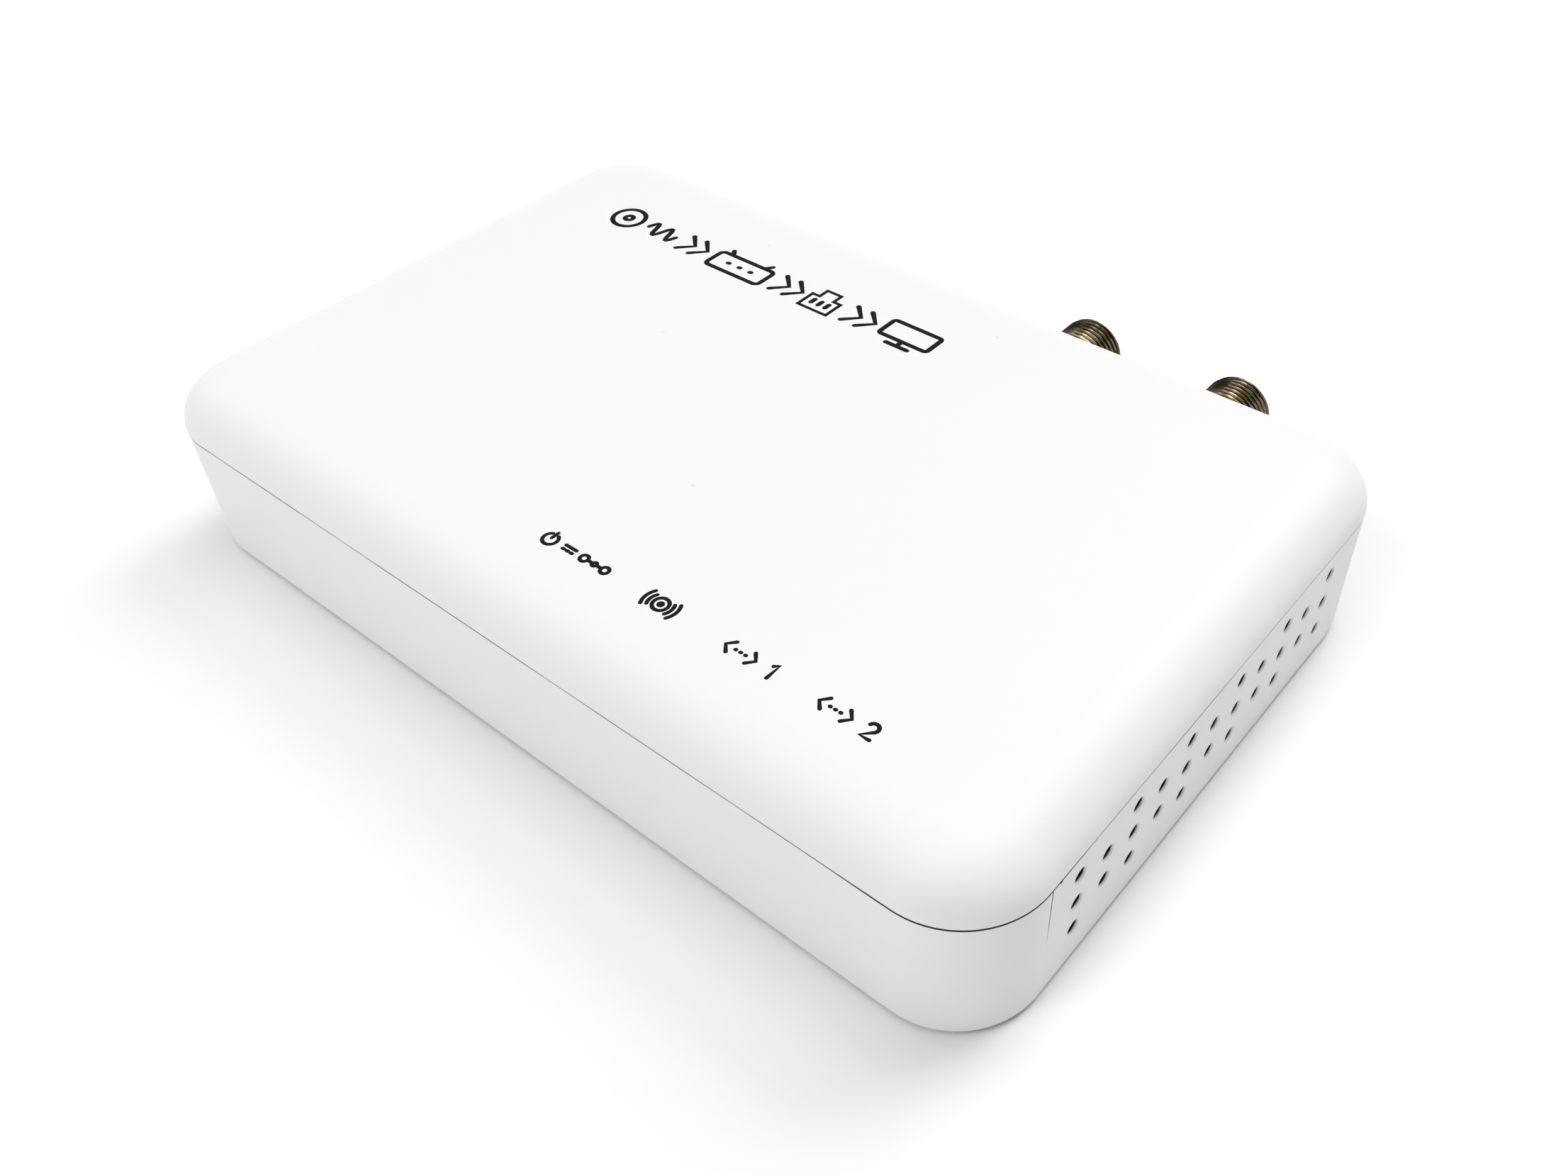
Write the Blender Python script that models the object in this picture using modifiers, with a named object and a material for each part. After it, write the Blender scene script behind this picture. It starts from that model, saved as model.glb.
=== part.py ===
"""Coax-to-Ethernet modem: a white two-part shell around one circuit board.

Frame: metres, +X to the right along the front, +Y to the rear where the sockets are, +Z up.
The origin is the middle of the underside of the bounding box, on the surface that the
rubber feet stand on.  Two empties carry the design: case_frame sits in the middle of the
shell's underside and board_frame on the component side of the circuit board.
"""
import math

import bmesh
import bpy

MM = 0.001

# Shell
CASE_LENGTH = 135.0 * MM
CASE_DEPTH = 87.2 * MM
CASE_HEIGHT = 24.0 * MM
PARTING_HEIGHT = 18.2 * MM        # joint between the two shells, above the case underside
CORNER_RADIUS = 10.7 * MM
WALL = 2.0 * MM
EDGE_RUN = 7.9 * MM               # the top edge is a quarter ellipse, this far inwards
EDGE_RISE = 5.5 * MM              # and this high
HOLLOW_RUN = 6.0 * MM             # the same edge of the hollow under the cover
HOLLOW_RISE = 3.5 * MM
BOTTOM_EDGE_RADIUS = 0.5 * MM
PARTING_GAP = 0.3 * MM
GAP = 0.3 * MM                    # play between pieces that lie against each other
LIP_THICKNESS = 1.0 * MM
LIP_DEPTH = 1.5 * MM              # how far the cover's lip reaches into the bottom case
CORNER_STEPS = 6
EDGE_STEPS = 6

# Side vents: columns of three and two round holes in turn
VENT_COLUMNS = 11
VENT_COLUMN_PITCH = 5.45 * MM
VENT_ROW_PITCH = 4.5 * MM
VENT_MIDDLE_HEIGHT = 10.33 * MM
VENT_RADIUS = 1.0 * MM
VENT_SIDES = 8

# Feet, screws and bosses
FOOT_PROUD = 0.6 * MM
FOOT_RADIUS = 5.0 * MM
FOOT_RECESS = 0.8 * MM
FOOT_X, FOOT_Y = 46.0 * MM, 33.0 * MM
BOSS_X, BOSS_Y = 58.5 * MM, 34.6 * MM
LOWER_BOSS_RADIUS = 4.2 * MM
UPPER_BOSS_RADIUS = 3.0 * MM
BOSS_JOINT_HEIGHT = 9.7 * MM
COUNTERBORE_RADIUS = 2.9 * MM
COUNTERBORE_DEPTH = 5.0 * MM
CASE_SCREW_RADIUS = 1.3 * MM
CASE_SCREW_HEAD_RADIUS = 2.5 * MM
CASE_SCREW_HEAD_HEIGHT = 1.6 * MM
CASE_SCREW_LENGTH = 12.0 * MM
BOARD_SCREW_X, BOARD_SCREW_Y = 53.0 * MM, -8.0 * MM
BOARD_SCREW_RADIUS = 1.0 * MM
BOARD_SCREW_HEAD_RADIUS = 2.4 * MM
BOARD_SCREW_HEAD_HEIGHT = 1.3 * MM
BOARD_SCREW_LENGTH = 4.0 * MM
POST_RADIUS = 3.0 * MM
REST_X, REST_Y = 20.0 * MM, -34.0 * MM
LABEL_SIZE = (70.0 * MM, 40.0 * MM)
LABEL_RECESS = 0.45 * MM
LABEL_THICKNESS = 0.15 * MM

# Circuit board
BOARD_LENGTH = 122.0 * MM
BOARD_FRONT, BOARD_REAR = -38.0 * MM, 41.0 * MM
BOARD_THICKNESS = 1.6 * MM
BOARD_HEIGHT = 4.2 * MM           # underside of the board above the case underside
BOARD_TOP = BOARD_HEIGHT + BOARD_THICKNESS
NOTCH_X, NOTCH_Y = 54.0 * MM, 30.0 * MM
LEG_RADIUS = 0.6 * MM
LEG_HOLE_RADIUS = 0.95 * MM
LEG_END = -BOARD_THICKNESS - 0.8 * MM

# Coaxial F sockets, 3/8-32 thread
COAX_X = (18.0 * MM, 41.6 * MM)
COAX_HEIGHT = 12.5 * MM
COAX_RADIUS = 4.76 * MM
COAX_REACH = 10.5 * MM
COAX_CHAMFER = 0.5 * MM
COAX_BORE_RADIUS = 3.6 * MM
COAX_BLOCK = (12.0 * MM, 13.0 * MM)
COAX_BLOCK_TOP = 17.5 * MM
COAX_TAIL = 12.5 * MM             # the contact's tail, inwards of the rear face
COAX_LEG_X, COAX_LEG_INSET = 4.6 * MM, 1.4 * MM
CONTACT_RADIUS = 0.8 * MM
CONTACT_BORE_RADIUS = 0.5 * MM
INSULATOR_BORE_RADIUS = 1.15 * MM
INSULATOR_RECESS = 0.4 * MM       # inwards of the barrel's end
INNER_FRONT = 3.6 * MM            # board parts stop this far inside the rear face

# LAN sockets
LAN_X = (-3.5 * MM, -20.5 * MM)
LAN_SIZE = (15.9 * MM, 16.8 * MM, 11.5 * MM)
LAN_SHEET = 0.4 * MM
LAN_SOCKET = ((11.9 * MM, 2.9 * MM, 9.9 * MM), (6.2 * MM, 1.7 * MM, 3.2 * MM),
              (3.6 * MM, 0.9 * MM, 2.0 * MM))
LAN_SOCKET_DEPTH = 13.5 * MM
LAN_PEG_X, LAN_PEG_BACK = 5.7 * MM, 8.0 * MM
LAN_BAR_HALF, LAN_BAR_DEPTH, LAN_BAR_HEIGHT = 4.6 * MM, 1.2 * MM, 0.8 * MM
LAN_BAR_BACK = 2.4 * MM
LAN_WIRES = 8
LAN_WIRE_PITCH = 1.02 * MM
LAN_WIRE_LENGTH = 6.0 * MM
LAN_WIRE_SLANT = math.radians(17)

# Power socket and reset switch
POWER_X = -48.0 * MM
POWER_SIZE = (9.0 * MM, 13.5 * MM, 10.9 * MM)
POWER_AXIS = 6.2 * MM             # above the board
POWER_BORE_RADIUS = 3.15 * MM
POWER_BORE_DEPTH = 10.0 * MM
POWER_PIN_RADIUS = 1.0 * MM
POWER_SPRING_HALF = 1.1 * MM
POWER_TABS = ((0.0, 12.4 * MM), (0.0, 6.0 * MM), (-3.6 * MM, 9.0 * MM))
RESET_X = -33.5 * MM
RESET_SIZE = (6.0 * MM, 3.6 * MM, 6.0 * MM)
RESET_AXIS = 3.3 * MM
RESET_FACE = 4.4 * MM             # front of the switch, inside the rear face
RESET_STEM_RADIUS = 1.2 * MM
RESET_STEM_PROUD = 1.9 * MM
RESET_STEM_LENGTH = 4.3 * MM

# Indicator lights under the front right of the cover
LIGHT_X = (3.3 * MM, 16.1 * MM, 29.2 * MM, 42.2 * MM)
LIGHT_Y = -27.5 * MM
LIGHT_POST_RADIUS = 1.5 * MM
LIGHT_POCKET_RADIUS = 2.0 * MM
LIGHT_SKIN = 0.7 * MM
LIGHT_CHIP = (3.0 * MM, 1.6 * MM, 0.9 * MM)
LIGHT_BAR = (6.0 * MM, 8.0 * MM)  # heights of the bar that joins the light posts

# Radio shield, processor and heat sink
SHIELD_CENTRE = (30.0 * MM, 16.0 * MM)
SHIELD_SIZE = (37.0 * MM, 19.0 * MM, 3.0 * MM)
SHIELD_SHEET = 0.4 * MM
SHIELD_COVER_LOW = 1.2 * MM
RF_CHIP_SIZE = (8.0 * MM, 8.0 * MM, 0.9 * MM)
PROCESSOR_CENTRE = (30.0 * MM, -10.5 * MM)
PROCESSOR_SIDE, PROCESSOR_HEIGHT = 17.0 * MM, 1.4 * MM
PAD_SIDE, PAD_HEIGHT = 16.0 * MM, 0.6 * MM
SINK_SIDE, SINK_BASE = 26.0 * MM, 2.0 * MM
FINS, FIN_THICKNESS, FIN_HEIGHT = 7, 1.2 * MM, 6.0 * MM

# Derived places
CASE_Y = -COAX_REACH / 2
REAR = CASE_DEPTH / 2
CEILING = CASE_HEIGHT - WALL
RIM = PARTING_HEIGHT + PARTING_GAP / 2
CUT = 1.0 * MM                    # how far a cutter runs past the face that it opens
ROOT = 0.5 * MM                   # how far a joined piece is sunk into its neighbour
ALONG_Y = (-math.pi / 2, 0.0, 0.0)
ALONG_X = (0.0, math.pi / 2, 0.0)

FINISHES = {
    "white_plastic": ((0.86, 0.87, 0.88), 0.42, 0.0),
    "black_rubber": ((0.03, 0.03, 0.03), 0.85, 0.0),
    "zinc_steel": ((0.55, 0.56, 0.58), 0.35, 1.0),
    "board_green": ((0.02, 0.13, 0.06), 0.45, 0.0),
    "bronze_brass": ((0.20, 0.16, 0.07), 0.38, 1.0),
    "white_insulator": ((0.80, 0.79, 0.74), 0.5, 0.0),
    "gold_contact": ((0.80, 0.58, 0.22), 0.25, 1.0),
    "tin_sheet": ((0.66, 0.67, 0.68), 0.3, 1.0),
    "black_plastic": ((0.02, 0.02, 0.022), 0.5, 0.0),
    "chip_black": ((0.03, 0.03, 0.032), 0.6, 0.0),
    "thermal_grey": ((0.35, 0.40, 0.46), 0.9, 0.0),
    "aluminium": ((0.70, 0.71, 0.72), 0.4, 1.0),
    "ferrite": ((0.10, 0.10, 0.11), 0.7, 0.0),
    "capacitor_sleeve": ((0.05, 0.06, 0.09), 0.45, 0.0),
    "clear_guide": ((0.85, 0.88, 0.90), 0.1, 0.0),
    "light_yellow": ((0.80, 0.72, 0.30), 0.3, 0.0),
    "label_silver": ((0.72, 0.73, 0.74), 0.4, 0.3),
}


def clear_scene():
    for obj in list(bpy.data.objects):
        bpy.data.objects.remove(obj, do_unlink=True)


def new_collection(name):
    collection = bpy.data.collections.new(name)
    bpy.context.scene.collection.children.link(collection)
    return collection


def new_empty(name, location, parent=None):
    empty = bpy.data.objects.new(name, None)
    empty.empty_display_size = 5 * MM
    empty.location = location
    empty.parent = parent
    PARTS.objects.link(empty)
    return empty


def new_material(name):
    colour, roughness, metallic = FINISHES[name]
    material = bpy.data.materials.new(name)
    material.use_nodes = True
    shader = material.node_tree.nodes["Principled BSDF"]
    shader.inputs["Base Color"].default_value = (*colour, 1.0)
    shader.inputs["Roughness"].default_value = roughness
    shader.inputs["Metallic"].default_value = metallic
    return material


def place(name, bm, parent, location=(0, 0, 0), rotation=(0, 0, 0), finish=None):
    """Turn a bmesh into an object: a sub-part if it has a finish, or else a cutter."""
    mesh = bpy.data.meshes.new(name)
    bm.to_mesh(mesh)
    bm.free()
    obj = bpy.data.objects.new(name, mesh)
    obj.parent = parent
    obj.location = location
    obj.rotation_euler = rotation
    if finish:
        mesh.materials.append(MATERIALS[finish])
        PARTS.objects.link(obj)
    else:
        obj.hide_render = True
        obj.display_type = 'WIRE'
        CUTTERS.objects.link(obj)
    return obj


def smooth(obj, angle=math.radians(35)):
    obj.data.shade_smooth()
    obj.data.set_sharp_from_angle(angle=angle)


def combine(target, operand, operation):
    modifier = target.modifiers.new(f"{operation.lower()}_{operand.name}", 'BOOLEAN')
    modifier.operation = operation
    modifier.solver = 'EXACT'
    modifier.object = operand


def cut(target, *cutters):
    for cutter in cutters:
        combine(target, cutter, 'DIFFERENCE')


def join(target, *pieces):
    for piece in pieces:
        combine(target, piece, 'UNION')


def add_box(bm, size, centre=(0, 0, 0)):
    verts = bmesh.ops.create_cube(bm, size=1.0)["verts"]
    bmesh.ops.scale(bm, vec=size, verts=verts)
    bmesh.ops.translate(bm, vec=centre, verts=verts)
    return verts


def add_span(bm, low, high):
    """A box between two corners."""
    size = [b - a for a, b in zip(low, high)]
    centre = [(a + b) / 2 for a, b in zip(low, high)]
    return add_box(bm, size, centre)


def add_rod(bm, radius, low, high, centre=(0, 0), sides=16):
    """An upright cylinder from height low to height high."""
    verts = bmesh.ops.create_cone(bm, cap_ends=True, segments=sides, radius1=radius,
                                  radius2=radius, depth=high - low)["verts"]
    bmesh.ops.translate(bm, vec=(centre[0], centre[1], (low + high) / 2), verts=verts)
    return verts


def box(name, size, centre, parent, finish=None, bevel=0.0):
    bm = bmesh.new()
    add_box(bm, size)
    obj = place(name, bm, parent, centre, finish=finish)
    if bevel:
        modifier = obj.modifiers.new("soft_edges", 'BEVEL')
        modifier.width = bevel
        modifier.segments = 1
    return obj


def span(name, low, high, parent, finish=None, bevel=0.0):
    size = [b - a for a, b in zip(low, high)]
    centre = [(a + b) / 2 for a, b in zip(low, high)]
    return box(name, size, centre, parent, finish, bevel)


def rod(name, radius, low, high, location, parent, rotation=(0, 0, 0), finish=None, sides=16):
    """A cylinder along its own Z from low to high, seen from the object's origin."""
    bm = bmesh.new()
    add_rod(bm, radius, low, high, sides=sides)
    return place(name, bm, parent, location, rotation, finish)


def turned(name, profile, location, parent, finish, rotation=(0, 0, 0), steps=20):
    """Spin a profile of (radius, height) points, from its top centre down its outer side."""
    bm = bmesh.new()
    verts = [bm.verts.new((radius, 0, height)) for radius, height in profile]
    for first, second in zip(verts, verts[1:]):
        bm.edges.new((first, second))
    obj = place(name, bm, parent, location, rotation, finish)
    screw = obj.modifiers.new("spin", 'SCREW')
    screw.axis = 'Z'
    screw.steps = steps
    screw.render_steps = steps
    screw.use_merge_vertices = True
    screw.merge_threshold = 0.00001
    screw.use_smooth_shade = False
    return obj


def add_rounded_prism(bm, inset, low, high):
    """The case outline, moved inwards by inset, as an upright prism."""
    verts = add_span(bm, (inset - CASE_LENGTH / 2, inset - CASE_DEPTH / 2, low),
                     (CASE_LENGTH / 2 - inset, CASE_DEPTH / 2 - inset, high))
    edges = {edge for vert in verts for edge in vert.link_edges}
    upright = [e for e in edges if abs(e.verts[0].co.z - e.verts[1].co.z) > MM / 100]
    bmesh.ops.bevel(bm, geom=upright, offset=CORNER_RADIUS - inset, segments=CORNER_STEPS,
                    profile=0.5, affect='EDGES')


def level_edges(bm, height):
    return [e for e in bm.edges if all(abs(v.co.z - height) < MM / 100 for v in e.verts)]


def corners(x, y):
    return [(sx * x, sy * y) for sy in (-1, 1) for sx in (-1, 1)]


def vent_places():
    for column in range(VENT_COLUMNS):
        rows = 3 - column % 2
        y = (column - (VENT_COLUMNS - 1) / 2) * VENT_COLUMN_PITCH
        for row in range(rows):
            yield y, VENT_MIDDLE_HEIGHT + (row - (rows - 1) / 2) * VENT_ROW_PITCH


def vent_cutter(side):
    """All round holes of one side wall, as rods across the wall."""
    bm = bmesh.new()
    for y, height in vent_places():
        add_rod(bm, VENT_RADIUS, -WALL - CUT, CUT, centre=(-height, y), sides=VENT_SIDES)
    turn = ALONG_X if side > 0 else (0.0, math.pi / 2, math.pi)
    return place(f"cut_vents_{'right' if side > 0 else 'left'}", bm, CASE,
                 (side * CASE_LENGTH / 2, 0, 0), turn)


def group_of_rods(name, radius, low, high, centres, sides=16):
    bm = bmesh.new()
    for centre in centres:
        add_rod(bm, radius, low, high, centre, sides)
    return place(name, bm, CASE)


def coax_clearance(name, x):
    return rod(name, COAX_RADIUS + GAP, -WALL - 3 * CUT, CUT, (x, REAR, COAX_HEIGHT), CASE,
               ALONG_Y, sides=28)


def lan_clearance(name, x, top):
    half = LAN_SIZE[0] / 2 + GAP
    return span(name, (x - half, REAR - 5 * WALL, BOARD_TOP - GAP), (x + half, REAR + CUT, top), CASE)


def make_bottom_case():
    rim = PARTING_HEIGHT - PARTING_GAP / 2
    bm = bmesh.new()
    add_rounded_prism(bm, 0.0, 0.0, rim)
    bmesh.ops.bevel(bm, geom=level_edges(bm, 0.0), offset=BOTTOM_EDGE_RADIUS, segments=2,
                    profile=0.5, affect='EDGES')
    case = place("bottom_case", bm, CASE, finish="white_plastic")
    bm = bmesh.new()
    add_rounded_prism(bm, WALL, WALL, rim + CUT)
    cut(case, place("cut_case_hollow", bm, CASE))
    add_lower_bosses(case)
    cut(case, vent_cutter(1), vent_cutter(-1))
    open_rear_wall(case)
    recess_underside(case)
    smooth(case)


def board_screw_places():
    return [(-BOARD_SCREW_X, BOARD_SCREW_Y), (BOARD_SCREW_X, BOARD_SCREW_Y)]


def add_lower_bosses(case):
    """Screw bosses in the corners, and posts that carry the board."""
    boss = group_of_rods("join_lower_bosses", LOWER_BOSS_RADIUS, WALL - ROOT, BOSS_JOINT_HEIGHT,
                         corners(BOSS_X, BOSS_Y), 20)
    rests = [(-REST_X, REST_Y), (REST_X, REST_Y)]
    post = group_of_rods("join_board_posts", POST_RADIUS, WALL - ROOT, BOARD_HEIGHT - GAP,
                         board_screw_places() + rests, 16)
    join(case, boss, post)
    bore = group_of_rods("cut_boss_counterbores", COUNTERBORE_RADIUS, -CUT, COUNTERBORE_DEPTH,
                         corners(BOSS_X, BOSS_Y), 20)
    hole = group_of_rods("cut_boss_holes", CASE_SCREW_RADIUS + GAP, -CUT,
                         BOSS_JOINT_HEIGHT + CUT, corners(BOSS_X, BOSS_Y), 12)
    pilot = group_of_rods("cut_post_holes", BOARD_SCREW_RADIUS + GAP, WALL / 2,
                          BOARD_HEIGHT + CUT, board_screw_places(), 12)
    cut(case, bore, hole, pilot)


def open_rear_wall(case):
    """Notches for the sockets that stand in the wall, holes for the power plug and reset."""
    over = PARTING_HEIGHT + CUT
    for number, x in enumerate(COAX_X, 1):
        half = COAX_RADIUS + GAP
        notch = span(f"cut_coax_notch_{number}", (x - half, REAR - WALL - CUT, COAX_HEIGHT),
                     (x + half, REAR + CUT, over), CASE)
        cut(case, coax_clearance(f"cut_coax_hole_{number}", x), notch)
    for number, x in enumerate(LAN_X, 1):
        cut(case, lan_clearance(f"cut_lan_notch_{number}", x, over))
    power = rod("cut_power_hole", POWER_BORE_RADIUS + CUT, -WALL - CUT, CUT,
                (POWER_X, REAR, BOARD_TOP + GAP + POWER_AXIS), CASE, ALONG_Y, sides=24)
    reset = rod("cut_reset_hole", RESET_STEM_RADIUS, -WALL - CUT, CUT,
                (RESET_X, REAR, BOARD_TOP + GAP + RESET_AXIS), CASE, ALONG_Y, sides=16)
    cut(case, power, reset)


def recess_underside(case):
    feet = group_of_rods("cut_foot_recesses", FOOT_RADIUS + GAP, -CUT, FOOT_RECESS,
                         corners(FOOT_X, FOOT_Y), 24)
    label = span("cut_label_recess", (-LABEL_SIZE[0] / 2, -LABEL_SIZE[1] / 2, -CUT),
                 (LABEL_SIZE[0] / 2, LABEL_SIZE[1] / 2, LABEL_RECESS), CASE)
    cut(case, feet, label)


def add_dome(bm, inset, low, top, run, rise):
    """The case outline as a prism whose top edge is a quarter ellipse, run wide and rise high."""
    stretch = run / rise
    add_rounded_prism(bm, inset, 0.0, (top - low) * stretch)
    bmesh.ops.bevel(bm, geom=level_edges(bm, (top - low) * stretch), offset=run,
                    segments=EDGE_STEPS, profile=0.5, affect='EDGES')
    bmesh.ops.scale(bm, vec=(1, 1, 1 / stretch), verts=bm.verts)
    bmesh.ops.translate(bm, vec=(0, 0, low), verts=bm.verts)


def make_top_cover():
    """The domed lid, with a lip that reaches into the bottom case, hollowed from below."""
    bm = bmesh.new()
    add_dome(bm, 0.0, RIM, CASE_HEIGHT, EDGE_RUN, EDGE_RISE)
    cover = place("top_cover", bm, CASE, finish="white_plastic")
    bm = bmesh.new()
    add_rounded_prism(bm, WALL + GAP, PARTING_HEIGHT - LIP_DEPTH, RIM + CUT)
    join(cover, place("join_lip", bm, CASE))
    add_rear_tongues(cover)
    bm = bmesh.new()
    add_dome(bm, WALL + GAP + LIP_THICKNESS, PARTING_HEIGHT - LIP_DEPTH - CUT, CEILING,
             HOLLOW_RUN, HOLLOW_RISE)
    cut(cover, place("cut_cover_hollow", bm, CASE))
    add_upper_bosses(cover)
    pockets = group_of_rods("cut_light_pockets", LIGHT_POCKET_RADIUS, CEILING - CUT,
                            CASE_HEIGHT - LIGHT_SKIN, [(x, LIGHT_Y) for x in LIGHT_X], 16)
    cut(cover, pockets)
    smooth(cover)


def add_upper_bosses(cover):
    boss = group_of_rods("join_upper_bosses", UPPER_BOSS_RADIUS, BOSS_JOINT_HEIGHT + GAP,
                         CEILING + ROOT, corners(BOSS_X, BOSS_Y), 20)
    pilot = group_of_rods("cut_upper_pilots", CASE_SCREW_RADIUS + GAP, BOSS_JOINT_HEIGHT,
                          CEILING - WALL, corners(BOSS_X, BOSS_Y), 12)
    join(cover, boss)
    cut(cover, pilot)


def add_rear_tongues(cover):
    """Tongues that close the wall over the coaxial sockets, and room for every socket."""
    for number, x in enumerate(COAX_X, 1):
        half = COAX_RADIUS
        tongue = span(f"join_tongue_{number}", (x - half, REAR - WALL, COAX_HEIGHT + GAP),
                      (x + half, REAR - 0.05 * MM, RIM + 2 * ROOT), CASE)
        join(cover, tongue)
        cut(cover, coax_clearance(f"cut_tongue_bore_{number}", x))
    for number, x in enumerate(LAN_X, 1):
        top = BOARD_TOP + GAP + LAN_SIZE[2] + GAP
        cut(cover, lan_clearance(f"cut_lip_room_{number}", x, top))


def make_feet_and_label():
    top = FOOT_RECESS - GAP
    for number, (x, y) in enumerate(corners(FOOT_X, FOOT_Y), 1):
        profile = [(0, top), (FOOT_RADIUS, top), (FOOT_RADIUS, 0.3 * MM - FOOT_PROUD),
                   (FOOT_RADIUS - 0.3 * MM, -FOOT_PROUD), (0, -FOOT_PROUD)]
        smooth(turned(f"rubber_foot_{number}", profile, (x, y, 0), CASE, "black_rubber", steps=24))
    half = [size / 2 - GAP for size in LABEL_SIZE]
    top = LABEL_RECESS - GAP
    span("blank_label", (-half[0], -half[1], top - LABEL_THICKNESS), (half[0], half[1], top),
         CASE, "label_silver")


def make_screw(name, location, parent, head, shank, pointing):
    """A pan-head screw with a cross recess; head and shank are (radius, length)."""
    (head_radius, head_height), (radius, length) = head, shank
    crown = 0.35 * head_height
    profile = [(0, head_height), (head_radius * 0.6, head_height),
               (head_radius, head_height - crown), (head_radius, 0), (radius, 0),
               (radius, 0.8 * MM - length), (radius * 0.5, -length), (0, -length)]
    rotation = (0, 0, 0) if pointing == 'DOWN' else (math.pi, 0, 0)
    screw = turned(name, profile, location, parent, "zinc_steel", rotation, steps=12)
    arm = head_radius * 0.55
    for turn, size in enumerate(((arm * 2, 0.5 * MM), (0.5 * MM, arm * 2))):
        recess = box(f"cut_{name}_{turn}", (*size, head_height * 1.2), (0, 0, head_height), screw)
        cut(screw, recess)
    smooth(screw)


def make_screws():
    seat = COUNTERBORE_DEPTH - GAP
    for number, (x, y) in enumerate(corners(BOSS_X, BOSS_Y), 1):
        make_screw(f"case_screw_{number}", (x, y, seat), CASE,
                   (CASE_SCREW_HEAD_RADIUS, CASE_SCREW_HEAD_HEIGHT),
                   (CASE_SCREW_RADIUS, CASE_SCREW_LENGTH), 'UP')
    for number, (x, y) in enumerate(board_screw_places(), 1):
        make_screw(f"board_screw_{number}", (x, y, GAP), BOARD,
                   (BOARD_SCREW_HEAD_RADIUS, BOARD_SCREW_HEAD_HEIGHT),
                   (BOARD_SCREW_RADIUS, BOARD_SCREW_LENGTH), 'DOWN')


def coax_leg_places(x):
    return [(x + sx * COAX_LEG_X, REAR - INNER_FRONT - back) for sx in (-1, 1)
            for back in (COAX_LEG_INSET, COAX_BLOCK[1] - COAX_LEG_INSET)]


def lan_peg_places(x):
    return [(x + sx * LAN_PEG_X, REAR - LAN_PEG_BACK) for sx in (-1, 1)]


def power_tab_places():
    return [(POWER_X + across, REAR - INNER_FRONT - back) for across, back in POWER_TABS]


def make_board():
    board = span("main_board", (-BOARD_LENGTH / 2, BOARD_FRONT, -BOARD_THICKNESS),
                 (BOARD_LENGTH / 2, BOARD_REAR, 0), BOARD, "board_green")
    bm = bmesh.new()
    for sx in (-1, 1):
        for sy in (-1, 1):
            centre = (sx * (NOTCH_X + 10 * MM), sy * (NOTCH_Y + 10 * MM), 0)
            add_box(bm, (20 * MM, 20 * MM, 10 * MM), centre)
    cut(board, place("cut_board_notches", bm, BOARD))
    screws = group_of_rods("cut_board_screw_holes", BOARD_SCREW_RADIUS + 2 * GAP,
                           BOARD_HEIGHT - CUT, BOARD_TOP + CUT, board_screw_places(), 12)
    places = [leg for x in COAX_X for leg in coax_leg_places(x)]
    places += [(x, REAR - COAX_TAIL) for x in COAX_X]
    places += [peg for x in LAN_X for peg in lan_peg_places(x)]
    legs = group_of_rods("cut_board_leg_holes", LEG_HOLE_RADIUS, BOARD_HEIGHT - CUT,
                         BOARD_TOP + CUT, places + power_tab_places(), 8)
    cut(board, screws, legs)


def add_legs(obj, name, places, low, high, sides=8):
    """Solder legs under a part, joined to it."""
    bm = bmesh.new()
    for x, y in places:
        add_rod(bm, LEG_RADIUS, low, high, (x, y), sides)
    join(obj, place(name, bm, BOARD))


def make_coax(number, x):
    """Threaded barrel on a solder block, its dielectric and its centre contact."""
    axis = COAX_HEIGHT - BOARD_TOP
    top = COAX_REACH
    profile = [(0, top), (COAX_RADIUS - COAX_CHAMFER, top), (COAX_RADIUS, top - COAX_CHAMFER),
               (COAX_RADIUS, -INNER_FRONT - CUT), (0, -INNER_FRONT - CUT)]
    body = turned(f"coax_body_{number}", profile, (x, REAR, axis), BOARD, "bronze_brass",
                  ALONG_Y, steps=32)
    rear = REAR - INNER_FRONT
    block = span(f"join_coax_block_{number}", (x - COAX_BLOCK[0] / 2, rear - COAX_BLOCK[1], GAP),
                 (x + COAX_BLOCK[0] / 2, rear, COAX_BLOCK_TOP - BOARD_TOP), BOARD)
    join(body, block)
    add_legs(body, f"join_coax_legs_{number}", coax_leg_places(x), LEG_END, GAP + ROOT)
    bore = rod(f"cut_coax_bore_{number}", COAX_BORE_RADIUS, -1.5 * MM - COAX_TAIL, top + CUT,
               (x, REAR, axis), BOARD, ALONG_Y, sides=24)
    slot = rod(f"cut_coax_slot_{number}", 1.6 * MM, -CUT, axis, (x, REAR - COAX_TAIL, 0), BOARD)
    cut(body, bore, slot)
    smooth(body)
    make_coax_core(number, x, axis)


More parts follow.
